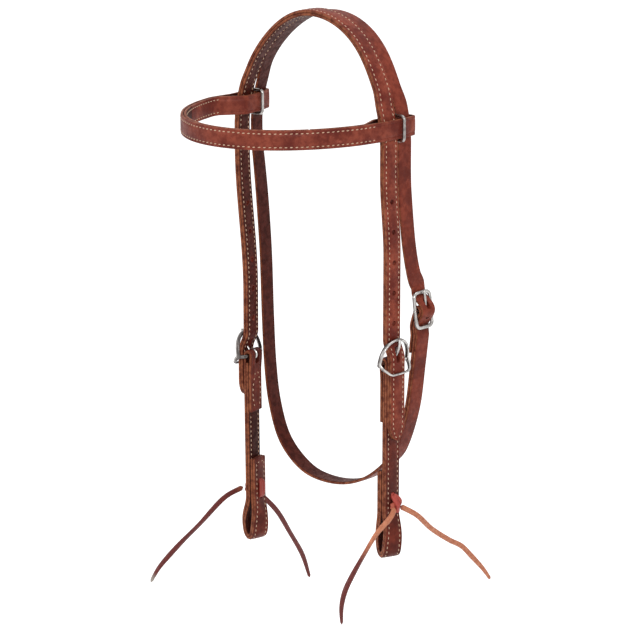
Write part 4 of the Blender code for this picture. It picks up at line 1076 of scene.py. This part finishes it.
def ring_and_rod(ring, bar):
    """The shells of a closed ring and of a bar with two ends."""
    return [(ring, skin(ring, closed=True)), (bar, skin(bar))]


def rounded_box(half_wide, half_high, corner, steps=7):
    """A rectangle with quarter round corners, as (side, height) pairs anticlockwise."""
    turn = np.linspace(0.0, math.pi / 2, steps)
    parts = []
    for quarter, (side, up) in enumerate(((1, 1), (-1, 1), (-1, -1), (1, -1))):
        angle = turn + quarter * math.pi / 2
        parts.append(np.stack([side * (half_wide - corner) + corner * np.cos(angle),
                               up * (half_high - corner) + corner * np.sin(angle)], -1))
    return np.vstack(parts)


def fill_out(loop, step):
    """A closed path with its long sides divided to about a step."""
    closed = np.vstack([loop, loop[:1]])
    run = run_along(closed)
    even = np.arange(0.0, run[-1], step)
    return read_at(np.unique(np.concatenate([run[:-1], even])), run, closed)


for side in (NEAR, FAR):
    outer, inner_line = band_sizes(side)
    outer += LEATHER + RING_EASE + RING_WIRE
    inner_line -= LEATHER + RING_EASE + RING_WIRE
    shape = rounded_box((outer - inner_line) / 2, STRAP_WIDTH / 2 + RING_EASE + RING_WIRE, RING_CORNER)
    flat = np.stack([(outer + inner_line) / 2 + shape[:, 0], 0.0 * shape[:, 0]], -1)
    loop = band_place(side, flat)
    loop[:, 2] += shape[:, 1]
    wire = rod(loop, RING_WIRE, RING_WIRE, turned(side["turn"]), closed=True, sides=14)
    # The ring's wire gets painted shade on its sides at half strength.
    ring = add_piece(f"{side['name']}_browband_wire_ring", [(wire, skin(wire, closed=True))], nickel,
                     {"flank": 0.5 * painted_flank_shades(wire, math.pi / 2)})
    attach(ring, "browband")
    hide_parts(f"{side['name']}_browband_ring")


# The cheek buckles are cast in one piece: a half round frame of flattened wire, a bar under the
# strap, and below the bar a thin raised keeper over the billet's tail. The tongue turns on the bar.
FRAME_RADIUS = 0.0020
FRAME_THIN = 0.0012
SIDE_LIFT = 0.0036
FRAME_HALF = 0.0162
KEEPER_DROP = 0.0080
KEEPER_RADIUS = 0.0010
KEEPER_DEPTH = 0.0014
KEEPER_NARROWING = 0.28
ARCH_FULLNESS = 0.88
KEEPER_FULLNESS = 0.34
TONGUE_RADIUS = 0.0012
TONGUE_OVERHANG = 0.0016
FINE_STEP = 0.0010


def rounded_close(points, radius):
    """Shares that close a bar in to a round end at both of its ends."""
    run = run_along(points)
    near_end = np.minimum(run, run[-1] - run) / radius
    return np.sqrt(1.0 - (1.0 - np.clip(near_end, 0.02, 1.0)) ** 2)


def denser_ends(points, radius):
    """A path with extra points close to both ends, for round ends."""
    run = run_along(points)
    extra = radius * np.array([0.02, 0.15, 0.4, 0.7, 1.0])
    return read_at(np.unique(np.concatenate([run, extra, run[-1] - extra])), run, points)


def tongue_shells(place, middle, ring_radius, radius, fat, prong, across_way):
    """A tongue's eye round the bar, at middle out from it, and its prong along a curve."""
    turn = np.linspace(0.0, math.tau, 28, endpoint=False)
    eye = place(stacked(middle + ring_radius * np.cos(turn), 0.0, ring_radius * np.sin(turn)))
    prong = denser_ends(place(curve_through(prong, FINE_STEP)), radius)
    close = rounded_close(prong, radius)
    return ring_and_rod(rod(eye, radius * fat, radius, across_way, closed=True, sides=10),
                        rod(prong, radius * 1.1 * close, radius * close, across_way, sides=12))


def buckle_loop(arch_out, keeper_out):
    """The frame's middle line, out, across and up from the bar: half of an ellipse above the bar,
    which leans out evenly to the arch, and below it two side arms that lead to the narrower and
    nearly straight keeper."""
    turn = np.linspace(0.0, math.tau, 160, endpoint=False)
    lower = np.sin(turn) < 0.0
    full = np.where(lower, KEEPER_FULLNESS, ARCH_FULLNESS)
    high = powered(np.sin(turn), full) * np.where(lower, KEEPER_DROP, FRAME_RISE)
    wide = powered(np.cos(turn), full) * FRAME_HALF
    wide = wide * (1.0 - KEEPER_NARROWING * ease(-high, 0.0, KEEPER_DROP))
    level = BAR_OUT + SIDE_LIFT
    out = (level + (arch_out - level) * np.clip(high / FRAME_RISE, 0.0, 1.0)
           + (keeper_out - level) * ease(-high, -0.002, KEEPER_DROP))
    return np.stack([out, wide, high], -1)


for side in (NEAR, FAR):
    cheek = CheekFrame(side)
    name = side["name"]
    out_way, across_way = cheek.way((1.0, 0.0, 0.0)), cheek.way((0.0, 1.0, 0.0))
    arch_out = DOUBLED + GAP + FRAME_RADIUS + 0.0006
    loop = buckle_loop(arch_out, BILLET_SHIFT + DOUBLED + GAP + KEEPER_DEPTH)
    keeper_share = ease(-loop[:, 2], -0.002, KEEPER_DROP * 0.9)
    thin = FRAME_THIN + (KEEPER_RADIUS - FRAME_THIN) * keeper_share
    deep = FRAME_RADIUS + (KEEPER_DEPTH - FRAME_RADIUS) * keeper_share
    frame_rings = rod(cheek.world(loop), thin, deep, out_way, closed=True, sides=16)
    along_bar = np.linspace(-FRAME_HALF, FRAME_HALF, 33)
    bar_out = BAR_OUT + SIDE_LIFT * ease(np.abs(along_bar), FRAME_HALF * 0.66, FRAME_HALF)
    bar_rings = rod(cheek.world(stacked(bar_out, along_bar, 0.0)), BAR_RADIUS, BAR_RADIUS, out_way, sides=14)
    # Painted shade on the sides of the frame and the bar.
    marks = {"flank": np.concatenate([painted_flank_shades(frame_rings), painted_flank_shades(bar_rings)])}
    buckle = add_piece(f"{name}_cheek_buckle_frame", ring_and_rod(frame_rings, bar_rings), nickel, marks)
    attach(buckle, "headstall")
    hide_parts(f"{name}_cheek_buckle")

    ring_radius = BAR_RADIUS + GAP + TONGUE_RADIUS
    over = arch_out + FRAME_RADIUS + TONGUE_RADIUS + 2 * GAP
    prong = [(BAR_OUT + ring_radius * 0.9, 0.0, ring_radius * 0.45),
             (over * 0.73, 0.0, FRAME_RISE * 0.44), (over * 0.97, 0.0, FRAME_RISE * 0.84),
             (over, 0.0, FRAME_RISE + TONGUE_OVERHANG)]
    shells = tongue_shells(cheek.world, BAR_OUT, ring_radius, TONGUE_RADIUS, 1.3, prong, across_way)
    tongue = add_piece(f"{name}_cheek_buckle_tongue", shells, nickel)
    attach(tongue, f"{name}_tongue")
    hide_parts(f"{name}_cheek_tongue")


# The throatlatch buckle is a rounded rectangle of wire with a bar across its middle, on which
# its tongue turns.
THROAT_CORNER = 0.0040
THROAT_BAR_HALF = 0.0112
THROAT_BAR_RADIUS = THROAT_WIRE * 0.95
THROAT_TONGUE = 0.0011


def in_throat(points):
    """Points given out, across and up from the throat buckle's bar, in the world."""
    return np.asarray(points, float) @ throat_axes + THROAT_BUCKLE


shape = rounded_box(THROAT_HALF_WIDTH, THROAT_HALF_HEIGHT, THROAT_CORNER)
loop = fill_out(stacked(0.0, shape[:, 0], shape[:, 1]), 0.0016)
frame_rings = rod(in_throat(loop), THROAT_WIRE, THROAT_WIRE * 0.9, throat_out, closed=True, sides=14)
bar = in_throat(stacked(0.0, np.linspace(-THROAT_BAR_HALF, THROAT_BAR_HALF, 9), 0.0))
bar = denser_ends(bar, FINE_STEP)
bar_close = THROAT_BAR_RADIUS * rounded_close(bar, FINE_STEP)
bar_rings = rod(bar, bar_close, bar_close, throat_out, sides=14)
# Painted shade on the sides of the frame and the bar.
marks = {"flank": np.concatenate([painted_flank_shades(frame_rings), painted_flank_shades(bar_rings)])}
throat_buckle = add_piece("throat_buckle_frame", ring_and_rod(frame_rings, bar_rings), nickel, marks)
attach(throat_buckle, "headstall")
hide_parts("throat_buckle")

ring_radius = THROAT_WIRE + GAP + THROAT_TONGUE
over = THROAT_WIRE + THROAT_TONGUE + 2 * GAP
prong = [(ring_radius * 0.9, 0.0, ring_radius * 0.45), (over, 0.0, THROAT_HALF_HEIGHT * 0.55),
         (over, 0.0, THROAT_HALF_HEIGHT + TONGUE_OVERHANG)]
shells = tongue_shells(in_throat, 0.0, ring_radius, THROAT_TONGUE, 1.2, prong, throat_across)
throat_tongue = add_piece("throat_buckle_tongue", shells, nickel)
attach(throat_tongue, "throat_tongue")
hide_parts("throat_tongue")


# Each lace goes in through one hole of the bit loop and out through the other, lies double inside,
# and is tied outside in a flat crossed knot.
KNOT_WIDTH = 0.0021
KNOT_THIN = 0.0015
KNOT_BANDS = (
    ((-0.0040, 0.0056, 0.0010), (-0.0014, 0.0066, 0.0016), (0.0016, 0.0068, 0.0018),
     (0.0040, 0.0050, 0.0010)),
    ((0.0006, 0.0152, -0.0026), (-0.0008, 0.0130, 0.0010), (0.0000, 0.0098, 0.0030),
     (0.0014, 0.0062, 0.0044), (0.0030, 0.0024, 0.0026), (0.0040, -0.0010, 0.0012)),
    ((-0.0012, 0.0146, 0.0012), (0.0014, 0.0132, 0.0020), (0.0044, 0.0104, 0.0024),
     (0.0062, 0.0076, 0.0020), (0.0054, 0.0052, 0.0012), (0.0026, 0.0040, 0.0010)),
    ((0.0002, -0.0002, -0.0026), (-0.0002, 0.0016, 0.0010), (-0.0020, 0.0042, 0.0022),
     (-0.0040, 0.0062, 0.0014)))

for side in (NEAR, FAR):
    name = side["name"]
    cheek = CheekFrame(side)
    out_way = cheek.way((1.0, 0.0, 0.0))
    face = DOUBLED + GAP
    inside = -(GAP + DOUBLED + KNOT_THIN)
    low = -LOWER_LENGTH + LACE_LOW
    high = -LOWER_LENGTH + LACE_HIGH
    bands = []
    for across, width in ((-0.0017, 1.0), (0.0019, 0.9)):
        hole = across * 0.3
        inner = [(face, hole, high), (inside + 0.0028, hole, high), (inside, across * 0.8, high - 0.0026),
                 (inside - 0.0002, across, (low + high) / 2), (inside, across * 0.8, low + 0.0026),
                 (inside + 0.0028, hole, low), (face, hole, low)]
        bands.append((inner, width, 0.0))
    for index, band in enumerate(KNOT_BANDS):
        outer = [(face + out, across * side["sign"], low + up) for across, up, out in band]
        bands.append((outer, 1.0, 0.30 if index in (0, 3) else 0.0))
    shells = []
    flesh_marks = []
    pink_highlight_marks = []
    for path, girth, shade in bands:
        path = denser_ends(cheek.world(curve_through(path, FINE_STEP)), FINE_STEP)
        close = rounded_close(path, FINE_STEP)
        rings = rod(path, KNOT_WIDTH * girth * close, KNOT_THIN * girth * close, out_way, sides=12,
                    squareness=0.8)
        shells.append((rings, skin(rings)))
        flesh_marks.append(np.full(rings.shape[0] * 12, shade if side is NEAR else 0.0))
        # Painted highlight: the near knot is painted fully pinker, the far knot less.
        pink_highlight_marks.append(np.full(rings.shape[0] * 12, 1.0 if side is NEAR else 0.6))
    knot = add_piece(f"{name}_lace_tie", shells, lace_leather,
                     {"flesh": np.concatenate(flesh_marks), "ruddy": np.concatenate(pink_highlight_marks)})
    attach(knot, f"{name}_cheek")
    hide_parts(f"{name}_lace_knot")


# A pale floor far below, white where the camera sees it, as the photograph's background is.
FLOOR_DROP = 0.90
WHITE_RAYS = ("Is Camera Ray", "Is Glossy Ray", "Is Transmission Ray")

floor_mesh = bpy.data.meshes.new("floor")
floor_mesh.from_pydata([(-9.0, -9.0, -FLOOR_DROP), (9.0, -9.0, -FLOOR_DROP), (9.0, 9.0, -FLOOR_DROP),
                        (-9.0, 9.0, -FLOOR_DROP)], [], [(0, 1, 2, 3)])
floor_finish = Finish("white floor", Roughness=0.9)
seen = floor_finish.node("ShaderNodeLightPath")
camera_ray, glossy_ray, clear_ray = (Value(floor_finish, seen.outputs[name]) for name in WHITE_RAYS)
glow_strength = (camera_ray + glossy_ray + clear_ray) * 0.80
glow = floor_finish.node("ShaderNodeEmission", None, {"Color": (1.0, 1.0, 1.0), "Strength": glow_strength})
both = floor_finish.node("ShaderNodeAddShader", None, {0: floor_finish.shader.outputs[0],
                                                       1: glow.outputs[0]})
floor_finish.shader.inputs["Base Color"].default_value = (0.86, 0.86, 0.86, 1.0)
floor_finish.feed(floor_finish.tree.nodes["Material Output"].inputs["Surface"], both.outputs[0])
floor_mesh.materials.append(floor_finish.material)
floor = bpy.data.objects.new("floor", floor_mesh)
bpy.context.scene.collection.objects.link(floor)


# Soft studio light: an even surround, a large lamp from the near front, one from the far front
# and one overhead.
world = bpy.data.worlds.new("studio")
bpy.context.scene.world = world
world.use_nodes = True
nodes, links = world.node_tree.nodes, world.node_tree.links
background = nodes["Background"]
background.inputs["Color"].default_value = (1.0, 1.0, 1.0, 1.0)
path_node = nodes.new("ShaderNodeLightPath")
any_ray = path_node.outputs[WHITE_RAYS[0]]
for ray in WHITE_RAYS[1:]:
    larger = nodes.new("ShaderNodeMath")
    larger.operation = "MAXIMUM"
    links.new(any_ray, larger.inputs[0])
    links.new(path_node.outputs[ray], larger.inputs[1])
    any_ray = larger.outputs[0]
strength = nodes.new("ShaderNodeMapRange")
strength.inputs["To Min"].default_value = 0.46
strength.inputs["To Max"].default_value = 1.0
links.new(any_ray, strength.inputs["Value"])
links.new(strength.outputs["Result"], background.inputs["Strength"])


def lamp(name, place, power, size):
    """A square soft lamp that looks at the headstall."""
    data = bpy.data.lights.new(name, "AREA")
    data.energy = power
    data.size = size
    made = bpy.data.objects.new(name, data)
    made.location = place
    made.rotation_euler = (AIM - Vector(place)).to_track_quat("-Z", "Y").to_euler()
    bpy.context.scene.collection.objects.link(made)


lamp("near front lamp", (2.0, -1.3, 1.0), 26.0, 1.2)
lamp("far front lamp", (-1.2, -2.2, 0.8), 14.0, 1.4)
lamp("overhead lamp", (0.3, 0.2, 2.0), 12.0, 1.4)
